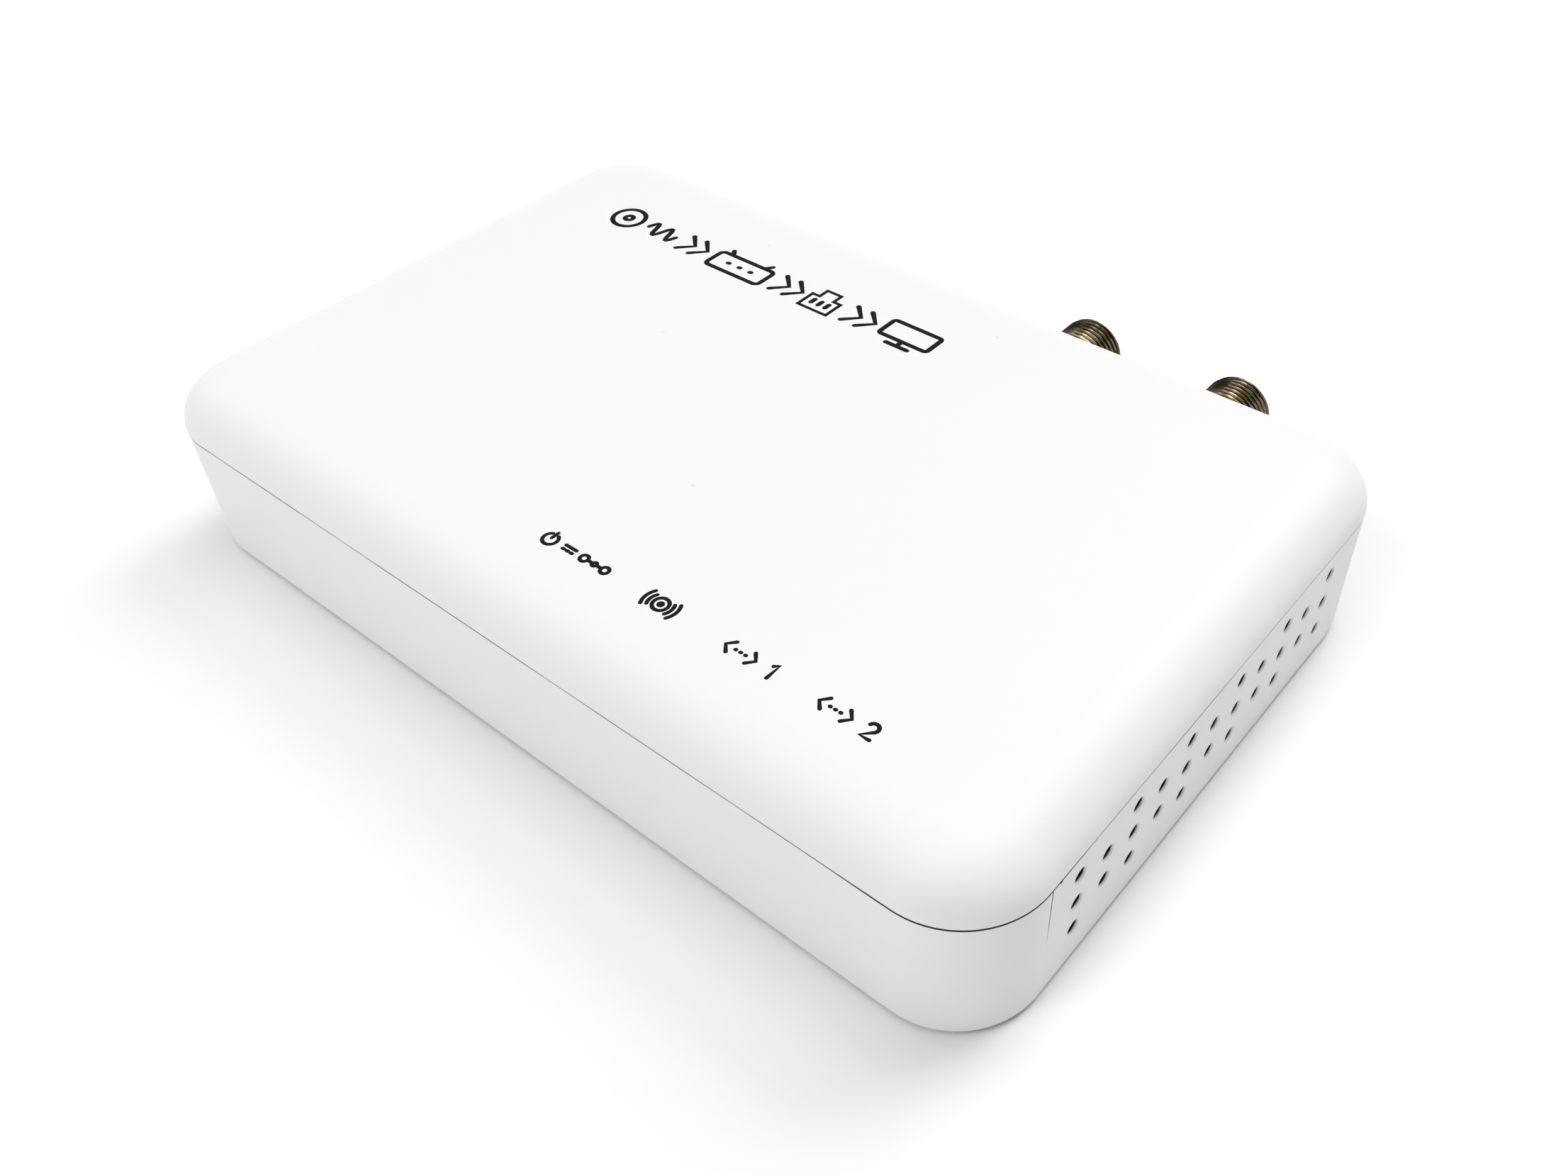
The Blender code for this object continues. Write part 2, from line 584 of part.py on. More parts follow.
def make_coax_core(number, x, axis):
    outer, inner = COAX_BORE_RADIUS - GAP, INSULATOR_BORE_RADIUS
    front, back = COAX_REACH - INSULATOR_RECESS, 2.1 * MM - COAX_TAIL
    funnel = 1.0 * MM
    profile = [(inner, front - funnel), (inner + 0.9 * funnel, front), (outer, front),
               (outer, back), (inner, back), (inner, front - funnel)]
    smooth(turned(f"coax_insulator_{number}", profile, (x, REAR, axis), BOARD,
                  "white_insulator", ALONG_Y, steps=24))
    contact = rod(f"coax_contact_{number}", CONTACT_RADIUS, -COAX_TAIL - 0.6 * MM,
                  front - 1.4 * MM, (x, REAR, axis), BOARD, ALONG_Y, "gold_contact", sides=12)
    tail = rod(f"join_contact_tail_{number}", CONTACT_BORE_RADIUS, LEG_END - axis, 0,
               (x, REAR - COAX_TAIL, axis), BOARD, sides=8)
    socket = rod(f"cut_contact_socket_{number}", CONTACT_BORE_RADIUS, front - 5.5 * MM, front,
                 (x, REAR, axis), BOARD, ALONG_Y, sides=10)
    join(contact, tail)
    cut(contact, socket)
    smooth(contact)


def socket_steps(name, x, grow, near, far):
    """Boxes for the plug opening and its latch way, each wider by grow all round."""
    for step, (width, low, high) in enumerate(LAN_SOCKET):
        yield span(f"{name}_{step}", (x - width / 2 - grow, far, low - grow),
                   (x + width / 2 + grow, near, high + grow), BOARD)


def make_lan_socket(number, x):
    """Folded tin shield, moulded housing with the plug opening, and the row of contacts."""
    width, depth, height = LAN_SIZE
    sheet, face = LAN_SHEET, REAR
    shield = span(f"lan_shield_{number}", (x - width / 2, face - depth, GAP),
                  (x + width / 2, face, GAP + height), BOARD, "tin_sheet")
    hollow = span(f"cut_lan_hollow_{number}", (x - width / 2 + sheet, face - depth + sheet, -CUT),
                  (x + width / 2 - sheet, face - sheet, GAP + height - sheet), BOARD)
    cut(shield, hollow, *socket_steps(f"cut_lan_window_{number}", x, 0.15 * MM, face + CUT,
                                      face - CUT))
    inset = sheet + GAP
    housing = span(f"lan_housing_{number}", (x - width / 2 + inset, face - depth + inset, GAP),
                   (x + width / 2 - inset, face - inset, GAP + height - inset), BOARD,
                   "black_plastic")
    add_legs(housing, f"join_lan_pegs_{number}", lan_peg_places(x), LEG_END, GAP + ROOT)
    cut(housing, *socket_steps(f"cut_lan_socket_{number}", x, 0.0, face, face - LAN_SOCKET_DEPTH))
    make_lan_contacts(number, x, face)


def make_lan_contacts(number, x, face):
    ceiling = LAN_SOCKET[0][2] - GAP
    front = face - LAN_BAR_BACK
    contacts = span(f"lan_contacts_{number}",
                    (x - LAN_BAR_HALF, front - LAN_BAR_DEPTH, ceiling - LAN_BAR_HEIGHT),
                    (x + LAN_BAR_HALF, front, ceiling), BOARD, "gold_contact")
    bm = bmesh.new()
    for wire in range(LAN_WIRES):
        offset = (wire - (LAN_WIRES - 1) / 2) * LAN_WIRE_PITCH
        add_box(bm, (0.4 * MM, LAN_WIRE_LENGTH, 0.3 * MM), (offset, -LAN_WIRE_LENGTH / 2, 0))
    wires = place(f"join_lan_wires_{number}", bm, BOARD,
                  (x, front - LAN_BAR_DEPTH / 2, ceiling - LAN_BAR_HEIGHT / 2),
                  (LAN_WIRE_SLANT, 0, 0))
    join(contacts, wires)


def make_power_socket():
    width, depth, height = POWER_SIZE
    front = REAR - INNER_FRONT
    housing = span("power_jack_housing", (POWER_X - width / 2, front - depth, GAP),
                   (POWER_X + width / 2, front, GAP + height), BOARD, "black_plastic")
    axis = GAP + POWER_AXIS
    at = (POWER_X, front, axis)
    bore = rod("cut_power_bore", POWER_BORE_RADIUS, -POWER_BORE_DEPTH, CUT, at, BOARD, ALONG_Y,
               sides=24)
    rear_hole = rod("cut_power_rear", POWER_PIN_RADIUS + GAP, -depth - CUT, 0, at, BOARD,
                    ALONG_Y, sides=16)
    slot = span("cut_power_slot", (POWER_X - 1.5 * MM, front - 9.0 * MM, 1.0 * MM),
                (POWER_X + 1.5 * MM, front - 3.0 * MM, axis), BOARD)
    foot = span("cut_power_foot", (POWER_X - 1.5 * MM, front - 9.0 * MM, -CUT),
                (POWER_X + 1.5 * MM, front - 5.0 * MM, 1.5 * MM), BOARD)
    cut(housing, bore, rear_hole, slot, foot)
    radius, end = POWER_PIN_RADIUS, -depth - 0.8 * MM
    profile = [(0, -1.0 * MM), (radius * 0.7, -1.2 * MM), (radius, -1.8 * MM), (radius, end),
               (0, end)]
    smooth(turned("power_jack_pin", profile, at, BOARD, "zinc_steel", ALONG_Y, steps=16))
    make_power_spring(front)


def make_power_spring(front):
    """Leaf that presses on the plug's barrel, with a narrow tail through the board."""
    half = POWER_SPRING_HALF
    spring = span("power_jack_spring", (POWER_X - half, front - 6.3 * MM, LEG_END),
                  (POWER_X + half, front - 5.7 * MM, 2.2 * MM), BOARD, "gold_contact")
    blade = span("join_power_blade", (POWER_X - half, front - 8.6 * MM, 1.8 * MM),
                 (POWER_X + half, front - 5.9 * MM, 2.2 * MM), BOARD)
    narrow = span("cut_power_tail", (POWER_X - 3 * MM, front - 8 * MM, LEG_END - CUT),
                  (POWER_X - 0.4 * MM, front - 4 * MM, 0.3 * MM), BOARD)
    other = span("cut_power_tail_2", (POWER_X + 0.4 * MM, front - 8 * MM, LEG_END - CUT),
                 (POWER_X + 3 * MM, front - 4 * MM, 0.3 * MM), BOARD)
    join(spring, blade)
    cut(spring, narrow, other)


def make_reset():
    """Side-acting push switch; its stem is the one piece that moves."""
    width, depth, height = RESET_SIZE
    front = REAR - RESET_FACE
    axis = GAP + RESET_AXIS
    body = span("reset_switch", (RESET_X - width / 2, front - depth, GAP),
                (RESET_X + width / 2, front, GAP + height), BOARD, "black_plastic", bevel=0.2 * MM)
    bore_end = RESET_STEM_PROUD - RESET_STEM_LENGTH - 0.7 * MM
    bore = rod("cut_reset_bore", RESET_STEM_RADIUS + GAP, bore_end, CUT, (RESET_X, front, axis),
               BOARD, ALONG_Y, sides=20)
    cut(body, bore)
    tip, radius = RESET_STEM_PROUD, RESET_STEM_RADIUS
    profile = [(0, tip), (radius - 0.2 * MM, tip), (radius, tip - 0.2 * MM),
               (radius, tip - RESET_STEM_LENGTH), (0, tip - RESET_STEM_LENGTH)]
    smooth(turned("reset_button", profile, (RESET_X, front, axis), BOARD, "black_plastic",
                  ALONG_Y, steps=20))


def make_rf_shield():
    """Sheet fence round the radio parts, and the lid that snaps over it."""
    x, y = SHIELD_CENTRE
    length, depth, height = SHIELD_SIZE
    sheet = SHIELD_SHEET
    middle = (x, y, GAP + height / 2)
    frame = box("rf_shield_frame", SHIELD_SIZE, middle, BOARD, "tin_sheet")
    inner = box("cut_shield_frame", (length - 2 * sheet, depth - 2 * sheet, height + CUT),
                middle, BOARD)
    cut(frame, inner)
    half = (length / 2 + GAP, depth / 2 + GAP)
    top = height + 2 * GAP
    cover = span("rf_shield_cover", (x - half[0] - sheet, y - half[1] - sheet, SHIELD_COVER_LOW),
                 (x + half[0] + sheet, y + half[1] + sheet, top + sheet), BOARD, "tin_sheet")
    room = span("cut_shield_cover", (x - half[0], y - half[1], -CUT),
                (x + half[0], y + half[1], top), BOARD)
    cut(cover, room)
    box("rf_chip", RF_CHIP_SIZE, (x - 6 * MM, y, GAP + RF_CHIP_SIZE[2] / 2), BOARD, "chip_black",
        0.1 * MM)


def make_processor():
    """Processor, thermal pad and finned heat sink, one on the other."""
    x, y = PROCESSOR_CENTRE
    chip, pad, base = PROCESSOR_HEIGHT, PAD_HEIGHT, SINK_BASE
    box("processor_chip", (PROCESSOR_SIDE, PROCESSOR_SIDE, chip), (x, y, GAP + chip / 2), BOARD,
        "chip_black", 0.15 * MM)
    pad_low = GAP + chip + GAP
    box("thermal_pad", (PAD_SIDE, PAD_SIDE, pad), (x, y, pad_low + pad / 2), BOARD,
        "thermal_grey")
    sink_low = pad_low + pad + GAP
    sink = box("heatsink", (SINK_SIDE, SINK_SIDE, base), (x, y, sink_low + base / 2), BOARD,
               "aluminium")
    bm = bmesh.new()
    for index in range(FINS):
        offset = (index - (FINS - 1) / 2) * (SINK_SIDE - FIN_THICKNESS - GAP) / (FINS - 1)
        add_box(bm, (FIN_THICKNESS, SINK_SIDE - 2 * GAP, FIN_HEIGHT), (offset, 0, 0))
    fin_middle = sink_low + base + FIN_HEIGHT / 2 - ROOT
    join(sink, place("join_fins", bm, BOARD, (x, y, fin_middle)))


def make_capacitor(number, x, y, radius, height):
    groove = 1.2 * MM
    profile = [(0, height), (radius - 0.5 * MM, height), (radius, height - 0.5 * MM),
               (radius, groove + 0.6 * MM), (radius - 0.35 * MM, groove), (radius, groove - 0.6 * MM),
               (radius, 0), (0, 0)]
    smooth(turned(f"capacitor_{number}", profile, (x, y, GAP), BOARD, "capacitor_sleeve", steps=20))


def make_board_parts():
    blocks = (
        ("memory_chip", (8.0, 13.0, 1.0), (6.0, -10.0), "chip_black"),
        ("flash_chip", (6.0, 5.0, 0.9), (5.0, 3.5), "chip_black"),
        ("ethernet_chip", (12.0, 12.0, 1.0), (-13.0, -3.0), "chip_black"),
        ("lan_transformer_1", (12.6, 9.5, 6.0), (-3.5, 15.5), "black_plastic"),
        ("lan_transformer_2", (12.6, 9.5, 6.0), (-20.5, 15.5), "black_plastic"),
        ("clock_crystal", (11.0, 4.6, 3.4), (-12.0, -15.0), "tin_sheet"),
        ("power_inductor_1", (7.0, 7.0, 4.0), (-42.0, 2.0), "ferrite"),
        ("power_inductor_2", (7.0, 7.0, 4.0), (-42.0, -9.0), "ferrite"),
        ("regulator_chip", (5.0, 4.0, 1.5), (-33.0, 6.0), "chip_black"),
    )
    for name, size, centre, finish in blocks:
        length, depth, height = (value * MM for value in size)
        bevel = min(0.12 * height, 0.4 * MM)
        box(name, (length, depth, height),
            (centre[0] * MM, centre[1] * MM, GAP + height / 2), BOARD, finish, bevel)
    make_capacitor(1, -36 * MM, 19 * MM, 4.0 * MM, 11.0 * MM)
    make_capacitor(2, -45 * MM, 15 * MM, 4.0 * MM, 11.0 * MM)
    make_capacitor(3, -54 * MM, 10 * MM, 3.15 * MM, 8.0 * MM)


def make_lights():
    """Four board lights and the clear guide that carries them up to the thin spots."""
    chip_height = LIGHT_CHIP[2]
    for number, x in enumerate(LIGHT_X, 1):
        box(f"status_led_{number}", LIGHT_CHIP, (x, LIGHT_Y, GAP + chip_height / 2), BOARD,
            "light_yellow", 0.1 * MM)
    low = 2 * GAP + chip_height
    top = CASE_HEIGHT - LIGHT_SKIN - GAP - BOARD_TOP
    guide = span("light_guide", (LIGHT_X[0], LIGHT_Y - 0.8 * MM, LIGHT_BAR[0]),
                 (LIGHT_X[-1], LIGHT_Y + 0.8 * MM, LIGHT_BAR[1]), BOARD, "clear_guide")
    bm = bmesh.new()
    for x in LIGHT_X:
        add_rod(bm, LIGHT_POST_RADIUS, low, top, (x, LIGHT_Y), 16)
    join(guide, place("join_light_posts", bm, BOARD))
    smooth(guide)


clear_scene()
PARTS = new_collection("cable_modem")
CUTTERS = new_collection("cutters")
MATERIALS = {name: new_material(name) for name in FINISHES}
CASE = new_empty("case_frame", (0, CASE_Y, FOOT_PROUD))
BOARD = new_empty("board_frame", (0, 0, BOARD_TOP), CASE)

make_bottom_case()
make_top_cover()
make_feet_and_label()
make_screws()
make_board()
for socket_number, socket_x in enumerate(COAX_X, 1):
    make_coax(socket_number, socket_x)
for socket_number, socket_x in enumerate(LAN_X, 1):
    make_lan_socket(socket_number, socket_x)
make_power_socket()
make_reset()
make_rf_shield()
make_processor()
make_board_parts()
make_lights()
bpy.context.view_layer.update()
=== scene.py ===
"""Looks of the coax-to-Ethernet modem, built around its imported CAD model.

The white shell, coax sockets, LAN sockets, power socket, feet and screws are rebuilt with
fine meshes in the places that the CAD nodes give; the parts inside keep their CAD meshes.
"""
import math

import bmesh
import bpy
from mathutils import Matrix, Vector


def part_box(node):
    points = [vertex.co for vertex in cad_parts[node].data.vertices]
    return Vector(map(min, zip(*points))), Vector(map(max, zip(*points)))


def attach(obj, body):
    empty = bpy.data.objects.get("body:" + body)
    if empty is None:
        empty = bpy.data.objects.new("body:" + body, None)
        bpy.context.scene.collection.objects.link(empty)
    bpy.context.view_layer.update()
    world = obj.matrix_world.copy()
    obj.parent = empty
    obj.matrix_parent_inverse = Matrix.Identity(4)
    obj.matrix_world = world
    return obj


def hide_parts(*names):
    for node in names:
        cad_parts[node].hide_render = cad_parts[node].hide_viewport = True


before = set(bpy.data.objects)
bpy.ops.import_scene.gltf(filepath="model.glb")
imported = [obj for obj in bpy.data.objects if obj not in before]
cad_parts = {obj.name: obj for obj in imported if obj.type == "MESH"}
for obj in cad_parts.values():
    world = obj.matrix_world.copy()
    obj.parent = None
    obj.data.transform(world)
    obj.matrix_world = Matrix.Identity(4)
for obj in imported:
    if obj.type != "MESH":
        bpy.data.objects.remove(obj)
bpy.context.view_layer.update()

MM = 0.001
RIGHT_ANGLE = math.pi / 2

# Places and sizes that the frame gives
CASE_LOW, CASE_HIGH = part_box("bottom_case")
LENGTH = CASE_HIGH.x - CASE_LOW.x
DEPTH = CASE_HIGH.y - CASE_LOW.y
MIDDLE_Y = (CASE_HIGH.y + CASE_LOW.y) / 2
UNDERSIDE = CASE_LOW.z
REAR = CASE_HIGH.y
BOARD_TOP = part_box("main_board")[1].z
INK_HEIGHT = 0.02 * MM
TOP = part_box("top_cover")[1].z - INK_HEIGHT   # leaves room for the ink
PARTING = CASE_HIGH.z + 0.15 * MM   # the CAD shells stand 0.3 mm apart there

# Shell sizes
CORNER_RADIUS = 10.7 * MM
CORNER_STEPS = 28
WALL = 2.0 * MM
EDGE_RUN, EDGE_RISE = 7.9 * MM, 5.5 * MM
EDGE_STEPS = 22
HOLLOW_RUN, HOLLOW_RISE = 6.0 * MM, 3.5 * MM
HOLLOW_STEPS = 6
SEAM = 0.15 * MM                  # gap between the two shells
SEAM_ROUND = 0.05 * MM            # radius of the rims beside it
BOTTOM_ROUND = 0.5 * MM
LIP_INSET, LIP_THICKNESS, LIP_DEPTH = 2.3 * MM, 1.0 * MM, 1.5 * MM
SLIDE_LINE = MIDDLE_Y - 32.5 * MM   # marks of the mould's side slides
SLIDE_NICK = MIDDLE_Y - 31.1 * MM
CUT = 1.0 * MM                    # how far a cutter runs past the face that it opens
OVERLAP = 0.5 * MM                # how far a joined shape runs into its neighbour

# Side vents
VENT_COLUMNS = 11
VENT_COLUMN_PITCH = 5.45 * MM
VENT_ROW_PITCH = 4.5 * MM
VENT_MIDDLE = UNDERSIDE + 10.33 * MM
VENT_RADIUS = 0.95 * MM
VENT_CHAMFER = 0.18 * MM
VENT_SIDES = 28

# Bosses, recesses and play, as in the CAD model
BOSS_X, BOSS_Y = 58.5 * MM, 34.6 * MM
BOSS_SPLIT = UNDERSIDE + 9.7 * MM
LOWER_BOSS, UPPER_BOSS = 4.2 * MM, 3.0 * MM
SCREW_WELL, SCREW_HOLE = 2.9 * MM, 1.6 * MM
FOOT_RECESS, LABEL_RECESS = 0.8 * MM, 0.45 * MM
LIGHT_POCKET, LIGHT_SKIN = 2.0 * MM, 0.7 * MM
PLAY = 0.3 * MM

# Sockets in the rear wall
SOCKET_GAP = 0.2 * MM
POWER_HOLE, RESET_HOLE = 4.15 * MM, 1.2 * MM
COAX_BORE = 3.6 * MM
WIRES, WIRE_PITCH = 8, 1.02 * MM  # of a LAN socket

# Surroundings
WORLD_STRENGTH = 0.04
HORIZON = (0.06, 0.30)            # rise over which the pale backdrop fades out
FLOOR_REACH = 0.7                 # from the middle to each side
COOL, NEUTRAL = (0.94, 0.96, 1.0), (1.0, 1.0, 1.0)
LIGHTS = (   # name, colour, heading and climb in degrees, share of the light, size, distance
    ("front", COOL, -115, 24, 0.11, 0.42, 1.2),
    ("front_top", NEUTRAL, -100, 52, 0.25, 0.50, 1.6),
    ("back_right", NEUTRAL, 79, 44, 0.38, 0.60, 1.6),
    ("back_top", NEUTRAL, 90, 65, 0.25, 0.60, 1.6),
    ("overhead", NEUTRAL, 0, 90, 0.35, 0.80, 1.6),
    ("left", NEUTRAL, 180, 40, 0.09, 0.60, 1.6),
)
CAMERA_PLACE = (0.10288, -0.10703, 0.12958)
CAMERA_TURN = (39.43, -43.55, -0.92)   # heading, climb and roll in degrees

# 3/8-32 thread
THREAD_RADIUS = 4.76 * MM
THREAD_PITCH = 25.4 * MM / 32
THREAD_DEPTH = 0.47 * MM
THREAD_SIDES = 80
THREAD_ROWS = 12                  # rows of mesh per turn


# ---- materials

class Finish:
    """A Principled material whose layers are laid out in the object's own coordinates."""

    def __init__(self, name, roughness, metallic=0.0, **constants):
        self.material = bpy.data.materials.new(name)
        self.material.use_nodes = True
        self.tree = self.material.node_tree
        self.shader = self.tree.nodes["Principled BSDF"]
        self.shader.inputs["Roughness"].default_value = roughness
        self.shader.inputs["Metallic"].default_value = metallic
        for socket, value in constants.items():
            self.shader.inputs[socket.replace("_", " ")].default_value = value
        self.place = self.add("ShaderNodeTexCoord").outputs["Object"]

    def add(self, kind, **settings):
        node = self.tree.nodes.new(kind)
        for key, value in settings.items():
            setattr(node, key, value)
        return node

    def feed(self, socket, value):
        """Link or set a socket; a colour is given as three numbers."""
        if isinstance(value, bpy.types.NodeSocket):
            self.tree.links.new(value, socket)
        else:
            socket.default_value = (*value, 1.0) if socket.type == 'RGBA' else value

    def texture(self, kind, size, stretch):
        node, place = self.add(kind), self.place
        if stretch:
            mapping = self.add("ShaderNodeMapping")
            self.feed(mapping.inputs["Vector"], place)
            self.feed(mapping.inputs["Scale"], stretch)
            place = mapping.outputs["Vector"]
        self.feed(node.inputs["Vector"], place)
        self.feed(node.inputs["Scale"], 1.0 / size)
        return node

    def noise(self, size, detail=2.0, stretch=None):
        """Soft noise whose blobs are about size across."""
        node = self.texture("ShaderNodeTexNoise", size, stretch)
        self.feed(node.inputs["Detail"], detail)
        return node.outputs["Fac"]

    def cells(self, size, stretch=None):
        """Distance from the nearest of random points about size apart."""
        return self.texture("ShaderNodeTexVoronoi", size, stretch).outputs["Distance"]

    def math(self, operation, first, second=0.0):
        node = self.add("ShaderNodeMath", operation=operation)
        self.feed(node.inputs[0], first)
        self.feed(node.inputs[1], second)
        return node.outputs[0]

    def times(self, first, second):
        return self.math('MULTIPLY', first, second)

    def minus(self, first, second):
        return self.math('SUBTRACT', first, second)

    def span(self, value, low, high, to_low=0.0, to_high=1.0):
        """Map value from low..high to to_low..to_high, clamped and eased."""
        node = self.add("ShaderNodeMapRange", interpolation_type='SMOOTHSTEP')
        for socket, number in zip(node.inputs, (value, low, high, to_low, to_high)):
            self.feed(socket, number)
        return node.outputs["Result"]

    def axis(self, letter):
        node = self.add("ShaderNodeSeparateXYZ")
        self.feed(node.inputs[0], self.place)
        return node.outputs[letter]

    def mix(self, factor, first, second):
        node = self.add("ShaderNodeMix", data_type='RGBA')
        self.feed(node.inputs["Factor"], factor)
        self.feed(node.inputs[6], first)
        self.feed(node.inputs[7], second)
        return node.outputs[2]

    def colour(self, value):
        self.feed(self.shader.inputs["Base Color"], value)
        return self

    def rough(self, value):
        self.feed(self.shader.inputs["Roughness"], value)

    def bump(self, height, depth, strength=1.0):
        """Surface relief of the given depth in metres."""
        node = self.add("ShaderNodeBump")
        self.feed(node.inputs["Height"], height)
        self.feed(node.inputs["Strength"], strength)
        self.feed(node.inputs["Distance"], depth)
        self.feed(self.shader.inputs["Normal"], node.outputs["Normal"])


SHELL_WHITE = (0.872, 0.872, 0.874)
SHELL_WARM = (0.870, 0.869, 0.864)


def joint_shadow(finish):
    """Painted shade in the joint: darkest round the near corner, patchy elsewhere, none in the rear wall.
    """
    x, y, z = (finish.axis(letter) for letter in "XYZ")
    level = finish.math('ABSOLUTE', finish.minus(z, PARTING))
    corner = finish.span(finish.minus(x, finish.minus(y, MIDDLE_Y)), 90 * MM, 100 * MM)
    edge = finish.span(corner, 0.0, 1.0, SEAM / 2 + SEAM_ROUND, SEAM / 2 + 3 * SEAM_ROUND)
    # painted shade: the seam gap and its rims are painted dark where shade falls between the shells
    joint = finish.span(level, SEAM / 2, edge, 1.0, 0.0)
    right = finish.span(x, LENGTH / 2 - 3.0 * MM, LENGTH / 2)
    gone = finish.times(finish.span(y, MIDDLE_Y - 6 * MM, MIDDLE_Y + 4 * MM, 0.0, 0.85),
                        finish.span(finish.noise(0.02, 1.0), 0.42, 0.52))
    patches = finish.times(finish.span(finish.noise(0.009, 2.0), 0.35, 0.65, 0.30, 0.65),
                        finish.minus(1.0, corner))
    rear = finish.span(y, REAR - 0.06 * MM, REAR - 0.03 * MM)
    lost = finish.math('MAXIMUM', finish.times(right, gone), finish.math('MAXIMUM', patches, rear))
    return finish.times(joint, finish.minus(1.0, lost))


def slide_mark_shade(finish):
    """Painted shade in the hair groove and the nick that the mould's side slide left."""
    x, y, z = (finish.axis(letter) for letter in "XYZ")

    def band(place, half, fade, low, high):
        off = finish.math('ABSOLUTE', finish.minus(y, place))
        return finish.times(finish.span(off, half, half + fade, 1.0, 0.0),
                            finish.span(z, PARTING - low, PARTING - high))
    side = finish.span(finish.math('ABSOLUTE', x), LENGTH / 2 - 2.0 * MM, LENGTH / 2 - 1.5 * MM)
    line = band(SLIDE_LINE, 0.05 * MM, 0.05 * MM, 10 * MM, 2 * MM)
    nick = band(SLIDE_NICK, 0.16 * MM, 0.08 * MM, 0.45 * MM, 0.30 * MM)
    case_only = finish.math('LESS_THAN', z, PARTING)
    return finish.times(finish.times(side, case_only), finish.math('MAXIMUM', line, nick))


def white_shell():
    """White moulding: cloudy tint, sparse dust marks, fine spark-eroded grain, painted shade in the joint
    and the slide marks.
    """
    finish = Finish("shell_white", 0.45, Specular_IOR_Level=0.35)
    cloud = finish.noise(0.035, 3.0)
    base = finish.mix(finish.span(cloud, 0.4, 0.65), SHELL_WHITE, SHELL_WARM)
    near = finish.cells(0.013, stretch=(1.0, 1.0, 0.2))
    pick = finish.noise(0.021, 0.0)
    speck = finish.times(finish.span(near, 0.012, 0.03, 1.0, 0.0), finish.span(pick, 0.54, 0.58))
    base = finish.mix(finish.times(speck, 0.35), base, (0.45, 0.45, 0.45))
    # painted shade: near-black in the seam between the shells
    base = finish.mix(joint_shadow(finish), base, (0.020, 0.020, 0.026))
    # painted shade: dark in the slide groove and nick
    base = finish.mix(slide_mark_shade(finish), base, (0.030, 0.030, 0.036))
    grain = finish.noise(0.00035, 3.0)
    finish.rough(finish.span(grain, 0.3, 0.7, 0.42, 0.52))
    finish.bump(grain, 0.000012, 0.6)
    return finish.colour(base).material


def vent_bore():
    """The same moulding inside the vents, painted near-black a little way in as shade in the bore."""
    finish = Finish("shell_vent_bore", 0.6, Specular_IOR_Level=0.3)
    depth = finish.minus(LENGTH / 2, finish.math('ABSOLUTE', finish.axis("X")))
    wobble = finish.times(finish.noise(0.0006, 2.0), 0.1 * MM)
    # painted shade: the bore turns near-black just past the chamfer
    shade = finish.span(finish.minus(depth, wobble), VENT_CHAMFER + 0.01 * MM, VENT_CHAMFER + 0.08 * MM)
    finish.bump(finish.noise(0.00035, 2.0), 0.00001, 0.5)
    return finish.colour(finish.mix(shade, SHELL_WHITE, (0.008, 0.006, 0.014))).material


def pad_ink():
    finish = Finish("print_black", 0.6, Specular_IOR_Level=0.08)
    fleck = finish.span(finish.noise(0.00025, 3.0), 0.35, 0.6)
    return finish.colour(finish.mix(fleck, (0.006, 0.006, 0.007), (0.014, 0.014, 0.015))).material


def thread_brass(name, x, z):
    """Dark bronze, tarnished in clouds: bright on the crests, roots painted near-black as shade, crests
    painted darker as shade on the side turned away from the lights, and darker towards the far end.
    """
    finish = Finish(name, 0.32, 1.0)
    across, up = finish.minus(finish.axis("X"), x), finish.minus(finish.axis("Z"), z)
    radius = finish.math('SQRT', finish.math('ADD', finish.times(across, across), finish.times(up, up)))
    crest = finish.span(radius, THREAD_RADIUS - THREAD_DEPTH * 0.85, THREAD_RADIUS - 0.05 * MM)
    # painted shade: crests darker on the -x side turned away from the lights, and darker towards the far
    # end
    crest_shading = finish.times(finish.span(across, -2.6 * MM, 0.6 * MM, 0.25, 1.0),
                         finish.span(finish.axis("Y"), REAR + 4.5 * MM, REAR + 7.5 * MM, 1.0, 0.3))
    tarnish = finish.noise(0.0035, 3.0)
    clear = finish.mix(finish.span(tarnish, 0.40, 0.60), (0.85, 0.72, 0.47), (0.30, 0.23, 0.10))
    # painted shade: the roots are painted near-black
    finish.colour(finish.mix(finish.times(crest, crest_shading), (0.012, 0.009, 0.004), clear))
    finish.rough(finish.span(finish.noise(0.0006, 2.0), 0.3, 0.7, 0.12, 0.22))
    finish.bump(finish.noise(0.00015, 2.0, stretch=(1.0, 6.0, 1.0)), 0.000004, 0.5)
    return finish.material


def moulding(name, dark, light, roughness, grain=0.0004):
    finish = Finish(name, roughness)
    cloud = finish.noise(0.004, 3.0)
    fine = finish.noise(grain, 2.0)
    finish.colour(finish.mix(finish.span(cloud, 0.3, 0.7), dark, light))
    finish.rough(finish.span(fine, 0.3, 0.7, roughness - 0.07, roughness + 0.07))
    finish.bump(fine, 0.00001, 0.6)
    return finish.material


def metal(name, dark, light, roughness, brush=(1.0, 1.0, 1.0)):
    """Plated or drawn metal with faint marks along one way."""
    finish = Finish(name, roughness, 1.0)
    marks = finish.noise(0.0012, 4.0, stretch=brush)
    cloud = finish.noise(0.005, 2.0)
    finish.colour(finish.mix(finish.span(cloud, 0.3, 0.7), dark, light))
    finish.rough(finish.span(marks, 0.3, 0.7, roughness - 0.08, roughness + 0.10))
    finish.bump(marks, 0.000005, 0.5)
    return finish.material


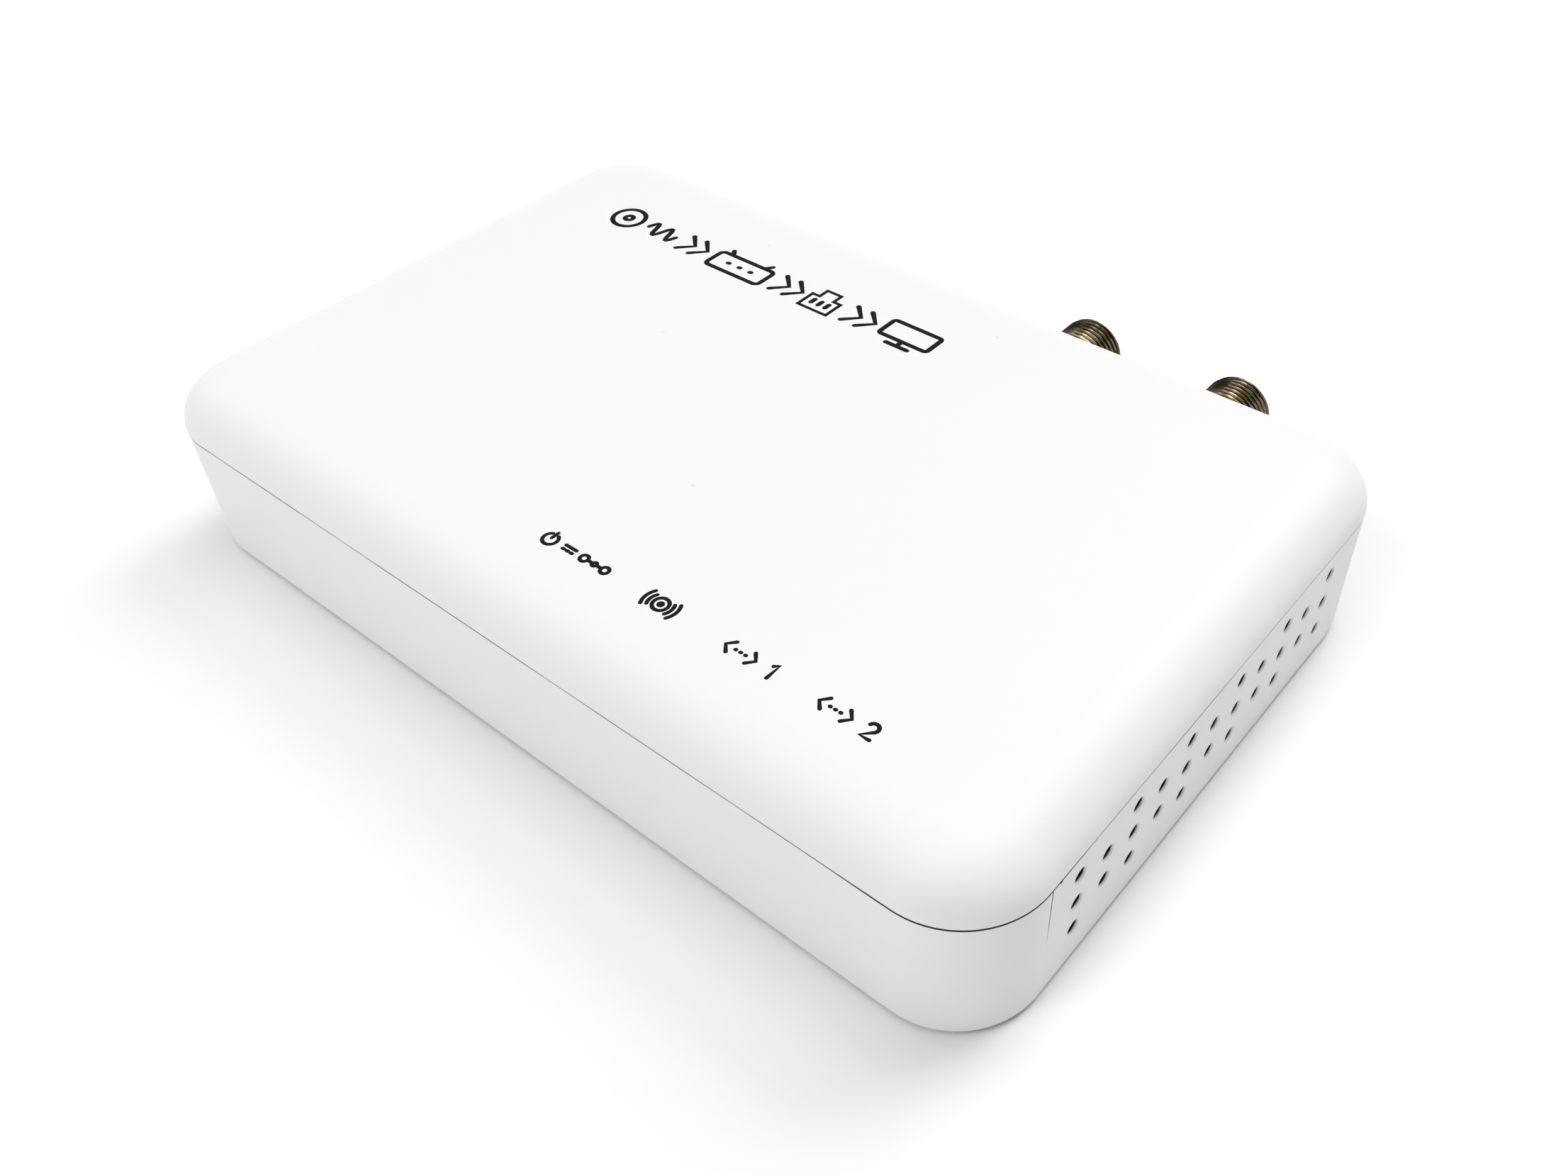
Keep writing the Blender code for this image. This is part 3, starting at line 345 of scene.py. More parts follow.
def board_mask():
    """Green solder mask over copper runs, with tinned spots."""
    finish = Finish("board_solder_mask", 0.35)
    runs = finish.add("ShaderNodeTexBrick", offset=0.5)
    finish.feed(runs.inputs["Vector"], finish.place)
    for socket, value in (("Scale", 160.0), ("Mortar Size", 0.03), ("Brick Width", 0.9),
                          ("Row Height", 0.16)):
        finish.feed(runs.inputs[socket], value)
    spots = finish.span(finish.cells(0.0026), 0.10, 0.14, 1.0, 0.0)
    mask = finish.mix(runs.outputs["Fac"], (0.010, 0.085, 0.035), (0.020, 0.16, 0.065))
    finish.colour(finish.mix(spots, mask, (0.55, 0.55, 0.52)))
    finish.bump(runs.outputs["Fac"], 0.00003, 0.6)
    return finish.material


def chip_epoxy():
    finish = Finish("chip_epoxy", 0.55)
    sand = finish.noise(0.0003, 3.0)
    finish.colour(finish.mix(sand, (0.018, 0.018, 0.020), (0.045, 0.045, 0.048)))
    finish.bump(sand, 0.00002, 0.7)
    return finish.material


def label_film():
    finish = Finish("label_film", 0.35, 0.4)
    brush = finish.noise(0.0006, 3.0, stretch=(1.0, 12.0, 1.0))
    finish.colour(finish.mix(brush, (0.60, 0.61, 0.62), (0.74, 0.75, 0.76)))
    finish.bump(brush, 0.000004, 0.4)
    return finish.material


def clear_acrylic():
    finish = Finish("light_guide_acrylic", 0.08, Transmission_Weight=0.9, IOR=1.49)
    finish.colour(finish.mix(finish.noise(0.003, 2.0), (0.86, 0.90, 0.92), (0.92, 0.95, 0.96)))
    return finish.material


# ---- mesh helpers

def placed(name, data):
    obj = bpy.data.objects.new(name, data)
    bpy.context.scene.collection.objects.link(obj)
    return obj


def shown(name, bm, *materials, angle=30.0):
    """Turn a bmesh, which is used up, into a shaded piece."""
    bmesh.ops.recalc_face_normals(bm, faces=bm.faces)
    mesh = bpy.data.meshes.new(name)
    bm.to_mesh(mesh)
    bm.free()
    obj = placed(name, mesh)
    for material in materials:
        mesh.materials.append(material)
    shade(obj, angle)
    return obj


def shade(obj, angle=30.0):
    obj.data.shade_smooth()
    obj.data.set_sharp_from_angle(angle=math.radians(angle))


def weigh_normals(obj):
    """Shade so that the large flat faces stay flat beside rounded edges."""
    shade(obj)
    modifier = obj.modifiers.new("weighted", 'WEIGHTED_NORMAL')
    modifier.mode = 'FACE_AREA'
    modifier.weight = 60
    modifier.keep_sharp = True


def combine(target, operand, operation='DIFFERENCE'):
    """Boolean with the operand, which is used up."""
    modifier = target.modifiers.new("combine", 'BOOLEAN')
    modifier.operation = operation
    modifier.solver = 'EXACT'
    modifier.object = operand
    graph = bpy.context.evaluated_depsgraph_get()
    mesh = bpy.data.meshes.new_from_object(target.evaluated_get(graph))
    target.modifiers.remove(modifier)
    target.data = mesh
    bpy.data.objects.remove(operand)


def bevelled(obj, width, segments=2):
    """Shade and round the edges."""
    shade(obj)
    modifier = obj.modifiers.new("edges", 'BEVEL')
    modifier.width = width
    modifier.segments = segments
    modifier.limit_method = 'ANGLE'
    modifier.angle_limit = math.radians(40.0)
    modifier.harden_normals = True
    return obj


def add_span(bm, low, high):
    """A box between two corners."""
    verts = bmesh.ops.create_cube(bm, size=1.0)["verts"]
    size = [b - a for a, b in zip(low, high)]
    middle = [(a + b) / 2 for a, b in zip(low, high)]
    bmesh.ops.scale(bm, vec=size, verts=verts)
    bmesh.ops.translate(bm, vec=middle, verts=verts)
    return verts


def box_piece(name, low, high, material):
    bm = bmesh.new()
    add_span(bm, low, high)
    return shown(name, bm, material)


TO_REAR = Matrix.Rotation(-RIGHT_ANGLE, 3, 'X')
UPRIGHT = Matrix.Identity(3)


def tool(fill):
    """A cutter or joiner whose bmesh is filled by a function."""
    bm = bmesh.new()
    fill(bm)
    return shown("tool", bm)


def rods(radius, low, high, centres, sides, turn=UPRIGHT):
    """Cylinders from low to high along Z, or along the turned Z, through the centres."""
    def fill(bm):
        for centre in centres:
            verts = bmesh.ops.create_cone(bm, cap_ends=True, segments=sides, radius1=radius,
                                          radius2=radius, depth=high - low)["verts"]
            bmesh.ops.translate(bm, vec=(0, 0, (low + high) / 2), verts=verts)
            bmesh.ops.rotate(bm, matrix=turn, verts=verts)
            bmesh.ops.translate(bm, vec=centre, verts=verts)
    return tool(fill)


def cut_rods(target, *sizes):
    combine(target, rods(*sizes))


def join_rods(target, *sizes):
    combine(target, rods(*sizes), 'UNION')


def cut_span(target, low, high):
    combine(target, tool(lambda bm: add_span(bm, low, high)))


def ring_of(bm, sides, radius_at, place):
    """A ring of vertices: radius_at takes a share of the turn, place takes across and up."""
    ring = []
    for side in range(sides):
        share = side / sides
        angle, radius = 2 * math.pi * share, radius_at(share)
        ring.append(bm.verts.new(place(radius * math.cos(angle), radius * math.sin(angle))))
    return ring


def add_lathe(bm, section, centre, turn, sides, closed=False):
    """Spin (radius, height) points round Z, turned and moved; radius 0 meets the axis."""
    rings = []
    for radius, height in section:
        rings.append(ring_of(bm, 1 if radius < 1e-7 else sides, lambda share: radius,
                             lambda x, y: turn @ Vector((x, y, height)) + Vector(centre)))
    bridge_rings(bm, rings + rings[:1] if closed else rings)


def bridge(bm, first, second):
    """Quads or triangles between two rings, either of which may be one point."""
    sides = max(len(first), len(second))
    for step in range(sides):
        ahead = (step + 1) % sides
        loop = [first[step % len(first)], first[ahead % len(first)],
                second[ahead % len(second)], second[step % len(second)]]
        distinct = list(dict.fromkeys(loop))
        if len(distinct) > 2:
            bm.faces.new(distinct)


def bridge_rings(bm, rings):
    for first, second in zip(rings, rings[1:]):
        bridge(bm, first, second)


def lathe(name, section, centre, material, turn, sides, closed=False):
    bm = bmesh.new()
    add_lathe(bm, section, centre, turn, sides, closed)
    return shown(name, bm, material)


def arc(centre, radii, start, end, steps):
    """Points of an ellipse from one angle to another, in degrees."""
    points = []
    for step in range(steps + 1):
        angle = math.radians(start + (end - start) * step / steps)
        points.append((centre[0] + radii[0] * math.cos(angle),
                       centre[1] + radii[1] * math.sin(angle)))
    return points


def new_curve(name, radius, resolution, material):
    """An empty piece whose splines will be round bars."""
    data = bpy.data.curves.new(name, 'CURVE')
    data.dimensions = '3D'
    data.bevel_depth = radius
    data.bevel_resolution = resolution
    data.use_fill_caps = True
    data.materials.append(material)
    return placed(name, data)


def add_spline(curve, route, closed=False):
    """A straight-legged bar through (x, y, z, share of the curve's radius) points."""
    spline = curve.data.splines.new('POLY')
    spline.points.add(len(route) - 1)
    for point, (*place, share) in zip(spline.points, route):
        point.co = (*place, 1.0)
        point.radius = share
    spline.use_cyclic_u = closed


def middle_of(node):
    low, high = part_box(node)
    return (low + high) / 2


def stand_for(obj, slot, *nodes, body="root"):
    """Ride on a body and hide the CAD nodes that obj stands for; slot is not used."""
    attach(obj, body)
    if nodes:
        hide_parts(*nodes)


# ---- shell

def rounded_box(x, y, width, depth, radius, steps=5):
    """A rectangle with round corners, anticlockwise from its right front corner."""
    points = []
    for quarter, (sx, sy) in enumerate(((1, -1), (1, 1), (-1, 1), (-1, -1))):
        centre = (x + sx * (width / 2 - radius), y + sy * (depth / 2 - radius))
        points += arc(centre, (radius, radius), quarter * 90 - 90, quarter * 90, steps)
    return points


def swept_shell(name, section, *materials):
    """The case outline carried through (inset, height) points, closed at both ends."""
    bm = bmesh.new()
    rings = []
    for inset, height in section:
        outline = rounded_box(0.0, MIDDLE_Y, LENGTH - 2 * inset, DEPTH - 2 * inset,
                              CORNER_RADIUS - inset, CORNER_STEPS)
        rings.append([bm.verts.new((x, y, height)) for x, y in outline])
    bridge_rings(bm, rings)
    bm.faces.new(rings[0])
    bm.faces.new(rings[-1])
    return shown(name, bm, *materials)


def corners(x, y, z=0.0):
    return [(sx * x, MIDDLE_Y + sy * y, z) for sy in (-1, 1) for sx in (-1, 1)]


def bottom_section():
    rim, floor = PARTING - SEAM / 2, UNDERSIDE + WALL
    inner_round = 0.8 * MM
    points = arc((BOTTOM_ROUND, UNDERSIDE + BOTTOM_ROUND), (BOTTOM_ROUND,) * 2, 270, 180, 6)
    points += arc((SEAM_ROUND, rim - SEAM_ROUND), (SEAM_ROUND,) * 2, 180, 90, 3)
    points += [(WALL - 0.1 * MM, rim), (WALL, rim - 0.1 * MM)]
    points += arc((WALL + inner_round, floor + inner_round), (inner_round,) * 2, 180, 270, 4)
    return points


def cover_section():
    rim = PARTING + SEAM / 2
    start, hollow_start = TOP - EDGE_RISE, TOP - WALL - HOLLOW_RISE
    lip_low, lip_inner, nib = PARTING - LIP_DEPTH, LIP_INSET + LIP_THICKNESS, 0.15 * MM
    points = arc((EDGE_RUN, start), (EDGE_RUN, EDGE_RISE), 90, 180, EDGE_STEPS)
    points += arc((SEAM_ROUND, rim + SEAM_ROUND), (SEAM_ROUND,) * 2, 180, 270, 3)
    points += [(LIP_INSET, rim), (LIP_INSET, lip_low + nib), (LIP_INSET + nib, lip_low),
               (lip_inner - nib, lip_low), (lip_inner, lip_low + nib)]
    points += arc((lip_inner + HOLLOW_RUN, hollow_start), (HOLLOW_RUN, HOLLOW_RISE), 180, 90,
                  HOLLOW_STEPS)
    return points


def socket_axis(number):
    low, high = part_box(f"coax_insulator_{number}")
    return (low.x + high.x) / 2, (low.z + high.z) / 2


def vent_places():
    for column in range(VENT_COLUMNS):
        rows = 3 - column % 2
        y = MIDDLE_Y + (column - (VENT_COLUMNS - 1) / 2) * VENT_COLUMN_PITCH
        for row in range(rows):
            yield y, VENT_MIDDLE + (row - (rows - 1) / 2) * VENT_ROW_PITCH


def cut_vents(case, side):
    """Round holes with a small chamfer at the mouth; their walls take the bore material."""
    turn = Matrix.Rotation(side * RIGHT_ANGLE, 3, 'Y')
    wide = VENT_RADIUS + VENT_CHAMFER
    section = [(0, -WALL - CUT), (VENT_RADIUS, -WALL - CUT), (VENT_RADIUS, -VENT_CHAMFER),
               (wide, 0), (wide, CUT), (0, CUT)]

    def fill(bm):
        for y, z in vent_places():
            add_lathe(bm, section, (side * LENGTH / 2, y, z), turn, VENT_SIDES)
        for face in bm.faces:
            face.material_index = 1
    cutter = tool(fill)
    for material in case.data.materials:
        cutter.data.materials.append(material)
    combine(case, cutter)


def cut_witness_lines(case):
    """Marks of the mould's side slides: a hair groove that fades downwards, and a nick."""
    width, depth, length = 0.10 * MM, 0.12 * MM, 11.0 * MM
    top = PARTING + CUT
    for side in (-1, 1):
        x = side * LENGTH / 2

        def groove(bm):
            verts = add_span(bm, (x - depth, SLIDE_LINE - width / 2, PARTING - length),
                             (x + depth, SLIDE_LINE + width / 2, top))
            for vert in verts:
                if vert.co.z < PARTING:
                    vert.co.x += side * depth * 0.98
        combine(case, tool(groove))
        cut_span(case, (x - 0.2 * MM, SLIDE_NICK - 0.17 * MM, PARTING - 0.35 * MM),
                 (x + 0.2 * MM, SLIDE_NICK + 0.17 * MM, top))


def lan_span(number, grow, top):
    low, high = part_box(f"lan_shield_{number}")
    return (low.x - grow, REAR - 5 * WALL, low.z - grow), (high.x + grow, REAR + CUT, top)


def flare(target, radius, chamfer, at, sides):
    """Widen the mouth of a round hole that opens to the rear."""
    section = [(0, -chamfer), (radius, -chamfer), (radius + 2 * chamfer, chamfer), (0, chamfer)]
    combine(target, tool(lambda bm: add_lathe(bm, section, at, TO_REAR, sides)))


def open_rear(case):
    for number in (1, 2):
        x, z = socket_axis(number)
        half = THREAD_RADIUS + SOCKET_GAP
        cut_rods(case, half, -WALL - CUT, CUT, [(x, REAR, z)], 64, TO_REAR)
        cut_span(case, (x - half, REAR - WALL - CUT, z), (x + half, REAR + CUT, PARTING + CUT))
        cut_span(case, *lan_span(number, SOCKET_GAP, PARTING + CUT))
    for node, radius, sides in (("power_jack_pin", POWER_HOLE, 56), ("reset_button", RESET_HOLE, 32)):
        axis = middle_of(node)
        at = (axis.x, REAR, axis.z)
        cut_rods(case, radius, -WALL - CUT, CUT, [at], sides, TO_REAR)
        flare(case, radius, 0.25 * MM, at, 56)


def recess_underside(case):
    low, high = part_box("rubber_foot_4")
    foot = (low + high) / 2
    radius = (high.x - low.x) / 2 + 0.25 * MM
    cut_rods(case, radius, -CUT, FOOT_RECESS, corners(foot.x, foot.y - MIDDLE_Y, UNDERSIDE), 64)
    low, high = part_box("blank_label")
    cut_span(case, (low.x - PLAY, low.y - PLAY, UNDERSIDE - CUT),
             (high.x + PLAY, high.y + PLAY, UNDERSIDE + LABEL_RECESS))


def make_bottom_case(white, bore):
    case = swept_shell("case_shell", bottom_section(), white, bore)
    bosses = corners(BOSS_X, BOSS_Y, UNDERSIDE)
    join_rods(case, LOWER_BOSS, WALL - OVERLAP, BOSS_SPLIT - UNDERSIDE, bosses, 40)
    cut_rods(case, SCREW_WELL, -CUT, 5.0 * MM, bosses, 40)
    cut_rods(case, SCREW_HOLE, -CUT, BOSS_SPLIT - UNDERSIDE + CUT, bosses, 24)
    screws = [middle_of(f"board_screw_{number}") for number in (1, 2)]
    posts = [(point.x, point.y, UNDERSIDE) for point in screws]
    rests = [(side * 20 * MM, MIDDLE_Y - 34 * MM, UNDERSIDE) for side in (-1, 1)]
    join_rods(case, 3.0 * MM, WALL - OVERLAP, 3.9 * MM, posts + rests, 32)
    cut_rods(case, 1.3 * MM, WALL / 2, 5.0 * MM, posts, 20)
    for side in (-1, 1):
        cut_vents(case, side)
    cut_witness_lines(case)
    open_rear(case)
    recess_underside(case)
    weigh_normals(case)
    stand_for(case, "shell", "bottom_case")


def make_cover(white):
    """The lid, with tongues that reach down over the coax barrels."""
    cover = swept_shell("cover_shell", cover_section(), white)
    for number in (1, 2):
        x, z = socket_axis(number)
        half, gap = THREAD_RADIUS + 0.05 * MM, 0.12 * MM
        tongue = box_piece("tongue", (x - half, REAR - WALL, z + gap),
                           (x + half, REAR - 0.012 * MM, PARTING + 0.3 * MM), white)
        combine(cover, tongue, 'UNION')
        cut_rods(cover, THREAD_RADIUS + SOCKET_GAP, -WALL - 3 * CUT, CUT, [(x, REAR, z)], 64, TO_REAR)
        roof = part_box(f"lan_shield_{number}")[1].z + PLAY
        cut_span(cover, *lan_span(number, PLAY, roof))
    bosses = corners(BOSS_X, BOSS_Y)
    join_rods(cover, UPPER_BOSS, BOSS_SPLIT + PLAY, TOP - WALL + OVERLAP, bosses, 40)
    cut_rods(cover, SCREW_HOLE, BOSS_SPLIT, TOP - 2 * WALL, bosses, 24)
    lights = [middle_of(f"status_led_{number}") for number in range(1, 5)]
    cut_rods(cover, LIGHT_POCKET, TOP - WALL - CUT, TOP - LIGHT_SKIN,
             [(point.x, point.y, 0.0) for point in lights], 32)
    weigh_normals(cover)
    stand_for(cover, "shell", "top_cover")


# ---- coax sockets

def thread_radius(turn_share, along):
    """Radius of the helical 60-degree thread at a share of a turn and a place along it."""
    phase = (along / THREAD_PITCH - turn_share) % 1.0
    slope = abs(2.0 * phase - 1.0)
    root = min(max((slope - 0.14) / 0.66, 0.0), 1.0)
    return THREAD_RADIUS - THREAD_DEPTH * root


def make_barrel(number, brass):
    """Threaded tube that stands out of the rear wall, open towards the rear."""
    x, z = socket_axis(number)
    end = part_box(f"coax_body_{number}")[1].y
    start = REAR - 3.6 * MM
    chamfer, bore_chamfer = 0.55 * MM, 0.25 * MM
    bm = bmesh.new()

    def ring(y, radius_at):
        return ring_of(bm, THREAD_SIDES, radius_at, lambda across, up: (x + across, y, z + up))
    rings = []
    rows = int((end - start) / THREAD_PITCH * THREAD_ROWS)
    for row in range(rows + 1):
        y = start + (end - start) * row / rows
        limit = THREAD_RADIUS - max(chamfer - (end - y), 0.0)
        rings.append(ring(y, lambda share: min(thread_radius(share, y - REAR), limit)))
    for radius, y in ((COAX_BORE + bore_chamfer, end), (COAX_BORE, end - bore_chamfer),
                      (COAX_BORE, start)):
        rings.append(ring(y, lambda share: radius))
    bridge_rings(bm, rings + rings[:1])
    barrel = shown(f"coax_barrel_{number}", bm, brass, angle=50.0)
    stand_for(barrel, "coax_metal", f"coax_body_{number}")


def make_solder_block(number, brass):
    """The socket's square block inside the case, with its four solder legs."""
    low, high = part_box(f"coax_body_{number}")
    x, z = socket_axis(number)
    rear = REAR - 3.7 * MM
    front, bottom, top = rear - 12.9 * MM, BOARD_TOP + PLAY, UNDERSIDE + 17.5 * MM
    block = box_piece(f"coax_block_{number}", (low.x, front, bottom), (high.x, rear, top), brass)
    cut_rods(block, COAX_BORE, -20 * MM, CUT, [(x, rear, z)], 48, TO_REAR)
    legs = [(x + side * 4.6 * MM, y, 0) for side in (-1, 1)
            for y in (front + 1.4 * MM, rear - 1.4 * MM)]
    join_rods(block, 0.6 * MM, low.z, bottom + OVERLAP, legs, 16)
    bevelled(block, 0.25 * MM)
    stand_for(block, "coax_metal")


def make_coax_core(number, dielectric, gold):
    """White plug in the barrel and the gold contact in it, slotted at its end."""
    x, z = socket_axis(number)
    low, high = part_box(f"coax_insulator_{number}")
    outer, inner, front, back = 3.3 * MM, 1.0 * MM, high.y - REAR, low.y - REAR
    section = [(inner, front - 1.3 * MM), (inner + 0.15 * MM, front - 0.9 * MM),
               (inner + 1.1 * MM, front - 0.1 * MM), (inner + 1.3 * MM, front),
               (outer - 0.3 * MM, front), (outer, front - 0.3 * MM), (outer, back), (inner, back)]
    plug = lathe(f"coax_dielectric_{number}", section, (x, REAR, z), dielectric, TO_REAR, 72, True)
    stand_for(plug, "insulator", f"coax_insulator_{number}")
    low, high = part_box(f"coax_contact_{number}")
    front, back, slit = high.y - REAR, -12.5 * MM, 0.08 * MM
    section = [(0.45 * MM, front - 5 * MM), (0.45 * MM, front - 0.3 * MM), (0.65 * MM, front),
               (0.8 * MM, front - 0.2 * MM), (0.8 * MM, back), (0, back), (0, front - 5 * MM)]
    pin = lathe(f"coax_pin_{number}", section, (x, REAR, z), gold, TO_REAR, 40)
    cut_span(pin, (x - slit, REAR + front - 3 * MM, z - CUT), (x + slit, REAR + front + CUT, z + CUT))
    join_rods(pin, 0.5 * MM, low.z, z, [(x, REAR - 12.0 * MM, 0)], 20)
    shade(pin)
    stand_for(pin, "contact_gold", f"coax_contact_{number}")


# ---- LAN sockets

# Width and heights above the board, in millimetres, of the plug opening and its latch way
LAN_STEPS = ((11.9, 2.9, 9.9), (6.2, 1.7, 3.2), (3.6, 0.9, 2.0))


def socket_steps(number, grow, near, far):
    """The steps as boxes that overlap in height, each side moved out by grow."""
    axis = middle_of(f"lan_shield_{number}").x
    for width, low, high in LAN_STEPS:
        half = width * MM / 2 + grow
        yield ((axis - half, far, BOARD_TOP + low * MM - grow),
               (axis + half, near, BOARD_TOP + high * MM + grow))


def wire_places(axis):
    return [axis + (wire - (WIRES - 1) / 2) * WIRE_PITCH for wire in range(WIRES)]


def make_lan_shield(number, tin):
    """Folded shield with the plug window and two slots in its face."""
    low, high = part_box(f"lan_shield_{number}")
    sheet = 0.3 * MM
    shield = box_piece(f"lan_can_{number}", low, high, tin)
    cut_span(shield, (low.x + sheet, low.y + sheet, low.z - CUT),
             (high.x - sheet, high.y - sheet, high.z - sheet))
    for first, second in socket_steps(number, 0.15 * MM, high.y + CUT, high.y - CUT):
        cut_span(shield, first, second)
    for side in (-1, 1):
        slot = (low.x + high.x) / 2 + side * 6.9 * MM
        cut_span(shield, (slot - 0.12 * MM, high.y - CUT, low.z + 4.0 * MM),
                 (slot + 0.12 * MM, high.y + CUT, low.z + 8.0 * MM))
    bevelled(shield, 0.12 * MM)
    stand_for(shield, "tin_sheet", f"lan_shield_{number}")


def make_lan_housing(number, black):
    low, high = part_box(f"lan_housing_{number}")
    body_low = BOARD_TOP + PLAY
    housing = box_piece(f"lan_insert_{number}", (low.x, low.y, body_low), high, black)
    for first, second in socket_steps(number, 0.0, high.y + CUT, high.y - 12.8 * MM):
        cut_span(housing, first, second)
    axis, roof = (low.x + high.x) / 2, BOARD_TOP + LAN_STEPS[0][2] * MM
    for x in wire_places(axis):
        cut_span(housing, (x - 0.3 * MM, high.y - 9.0 * MM, roof - 0.2 * MM),
                 (x + 0.3 * MM, high.y - 1.2 * MM, roof + 0.5 * MM))
    pegs = [(axis + side * 5.7 * MM, REAR - 8.0 * MM, 0) for side in (-1, 1)]
    join_rods(housing, 0.6 * MM, low.z, body_low + OVERLAP, pegs, 16)
    bevelled(housing, 0.1 * MM, 1)
    stand_for(housing, "black_moulding", f"lan_housing_{number}")


def make_lan_contacts(number, gold):
    """Eight sprung wires that bend back from the mouth and slope into the opening."""
    low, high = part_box(f"lan_contacts_{number}")
    front, back, roof = high.y, low.y, high.z - 0.15 * MM
    bend = arc((front - 0.55 * MM, roof - 0.4 * MM), (0.55 * MM, 0.4 * MM), 90, -70, 8)
    route = [(front - 5.5 * MM, roof)] + bend
    route += [(back + 0.5 * MM, low.z + 0.35 * MM), (back + 0.05 * MM, low.z + 0.2 * MM)]
    wires = new_curve(f"lan_wires_{number}", 0.19 * MM, 3, gold)
    for x in wire_places((low.x + high.x) / 2):
        add_spline(wires, [(x, y, z, 1.0) for y, z in route])
    stand_for(wires, "contact_gold", f"lan_contacts_{number}")


# ---- power socket and reset

def make_power_socket(black, steel):
    low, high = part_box("power_jack_housing")
    axis = middle_of("power_jack_pin")
    at = (axis.x, high.y, axis.z)
    bore, half = 3.15 * MM, 1.5 * MM
    housing = box_piece("power_socket", low, high, black)
    cut_rods(housing, bore, -10 * MM, CUT, [at], 64, TO_REAR)
    cut_rods(housing, 1.3 * MM, -20 * MM, 0, [at], 32, TO_REAR)
    for reach, floor in ((5 * MM, low.z - CUT), (3 * MM, low.z + 0.7 * MM)):
        cut_span(housing, (axis.x - half, high.y - 9 * MM, floor),
                 (axis.x + half, high.y - reach, axis.z))
    flare(housing, bore, 0.3 * MM, at, 64)
    stand_for(bevelled(housing, 0.15 * MM), "black_moulding", "power_jack_housing")
    low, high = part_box("power_jack_pin")
    radius, length = (high.x - low.x) / 2, high.y - low.y
    section = arc((0, -radius), (radius, radius), 90, 0, 6) + [(radius, -length), (0, -length)]
    at = (axis.x, high.y, axis.z)
    stand_for(lathe("power_pin", section, at, steel, TO_REAR, 40), "tin_sheet", "power_jack_pin")


def make_reset(black):
    """Push switch, and the button that slides in it behind the pinhole."""
    low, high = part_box("reset_switch")
    stem_low, stem_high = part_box("reset_button")
    axis = (stem_low + stem_high) / 2
    body = box_piece("push_switch", low, high, black)
    cut_rods(body, 1.45 * MM, stem_low.y - high.y - 0.7 * MM, CUT,
             [(axis.x, high.y, axis.z)], 40, TO_REAR)
    stand_for(bevelled(body, 0.2 * MM), "black_moulding", "reset_switch")
    radius, length = (stem_high.x - stem_low.x) / 2, stem_high.y - stem_low.y
    soft = 0.25 * MM
    section = [(0, 0)] + arc((radius - soft, -soft), (soft, soft), 90, 0, 4)
    section += [(radius, -length), (0, -length)]
    stem = lathe("reset_plunger_stem", section, (axis.x, stem_high.y, axis.z), black, TO_REAR, 40)
    stand_for(stem, "black_moulding", "reset_button", body="reset_plunger")


# ---- feet, screws and label

def make_foot(number, rubber):
    low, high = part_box(f"rubber_foot_{number}")
    centre = (low + high) / 2
    radius, soft = (high.x - low.x) / 2, 0.35 * MM
    height = high.z - low.z
    section = [(0, height), (radius - 0.1 * MM, height), (radius, height - 0.1 * MM)]
    section += arc((radius - soft, soft), (soft, soft), 0, -90, 5)
    for ring in (0.7, 0.45):
        section += [(radius * ring + 0.15 * MM, 0), (radius * ring, 0.12 * MM),
                    (radius * ring - 0.15 * MM, 0)]
    section.append((0, 0))
    foot = lathe(f"foot_pad_{number}", section, (centre.x, centre.y, low.z), rubber, UPRIGHT, 64)
    stand_for(foot, "foot_rubber", f"rubber_foot_{number}")


def make_screw(node, name, steel, upwards):
    """Pan head with a cross recess, and a helical thread that points up or down."""
    low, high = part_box(node)
    centre, head = (low + high) / 2, (high.x - low.x) / 2
    radius, head_height = (1.3 * MM, 1.6 * MM) if upwards else (1.0 * MM, 1.3 * MM)
    length = high.z - low.z - head_height
    pitch, depth, taper = 0.8 * MM, 0.18 * MM, 1.5 * MM
    bm = bmesh.new()

    def ring(height, radius_at):
        return ring_of(bm, 24, radius_at, lambda x, y: (x, y, height))

    def flank(along, share):
        tip = min(1.0, (length + along) / taper + 0.25)
        slope = abs(2 * ((along / pitch - share) % 1.0) - 1)
        return tip * (radius - depth * min(1.0, slope * 1.6))
    rings = [[bm.verts.new((0, 0, head_height))]]
    dome = arc((head * 0.5, 0.1 * MM), (head * 0.5, head_height - 0.1 * MM), 90, 0, 6)
    for wide, height in dome + [(head, 0), (radius, 0)]:
        rings.append(ring(height, lambda share: wide))
    rows = int(length / pitch * 8)
    for row in range(1, rows + 1):
        along = -length * row / rows
        rings.append(ring(along, lambda share: flank(along, share)))
    rings.append([bm.verts.new((0, 0, -length))])
    bridge_rings(bm, rings)
    screw = shown(name, bm, steel, angle=40.0)
    for x, y in ((head * 0.55, 0.275 * MM), (0.275 * MM, head * 0.55)):
        cut_span(screw, (-x, -y, head_height * 0.45), (x, y, head_height + CUT))
    if upwards:
        screw.data.transform(Matrix.Rotation(math.pi, 4, 'X'))
    seat = low.z + head_height if upwards else high.z - head_height
    screw.data.transform(Matrix.Translation((centre.x, centre.y, seat)))
    shade(screw, 40.0)
    stand_for(screw, "screw_steel", node)


def make_label(film):
    bm = bmesh.new()
    verts = add_span(bm, *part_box("blank_label"))
    edges = {edge for vert in verts for edge in vert.link_edges}
    upright = [e for e in edges if abs(e.verts[0].co.z - e.verts[1].co.z) > 0.05 * MM]
    bmesh.ops.bevel(bm, geom=upright, offset=2.0 * MM, segments=8, profile=0.5, affect='EDGES')
    stand_for(shown("rating_label", bm, film), "label", "blank_label")


# ---- print

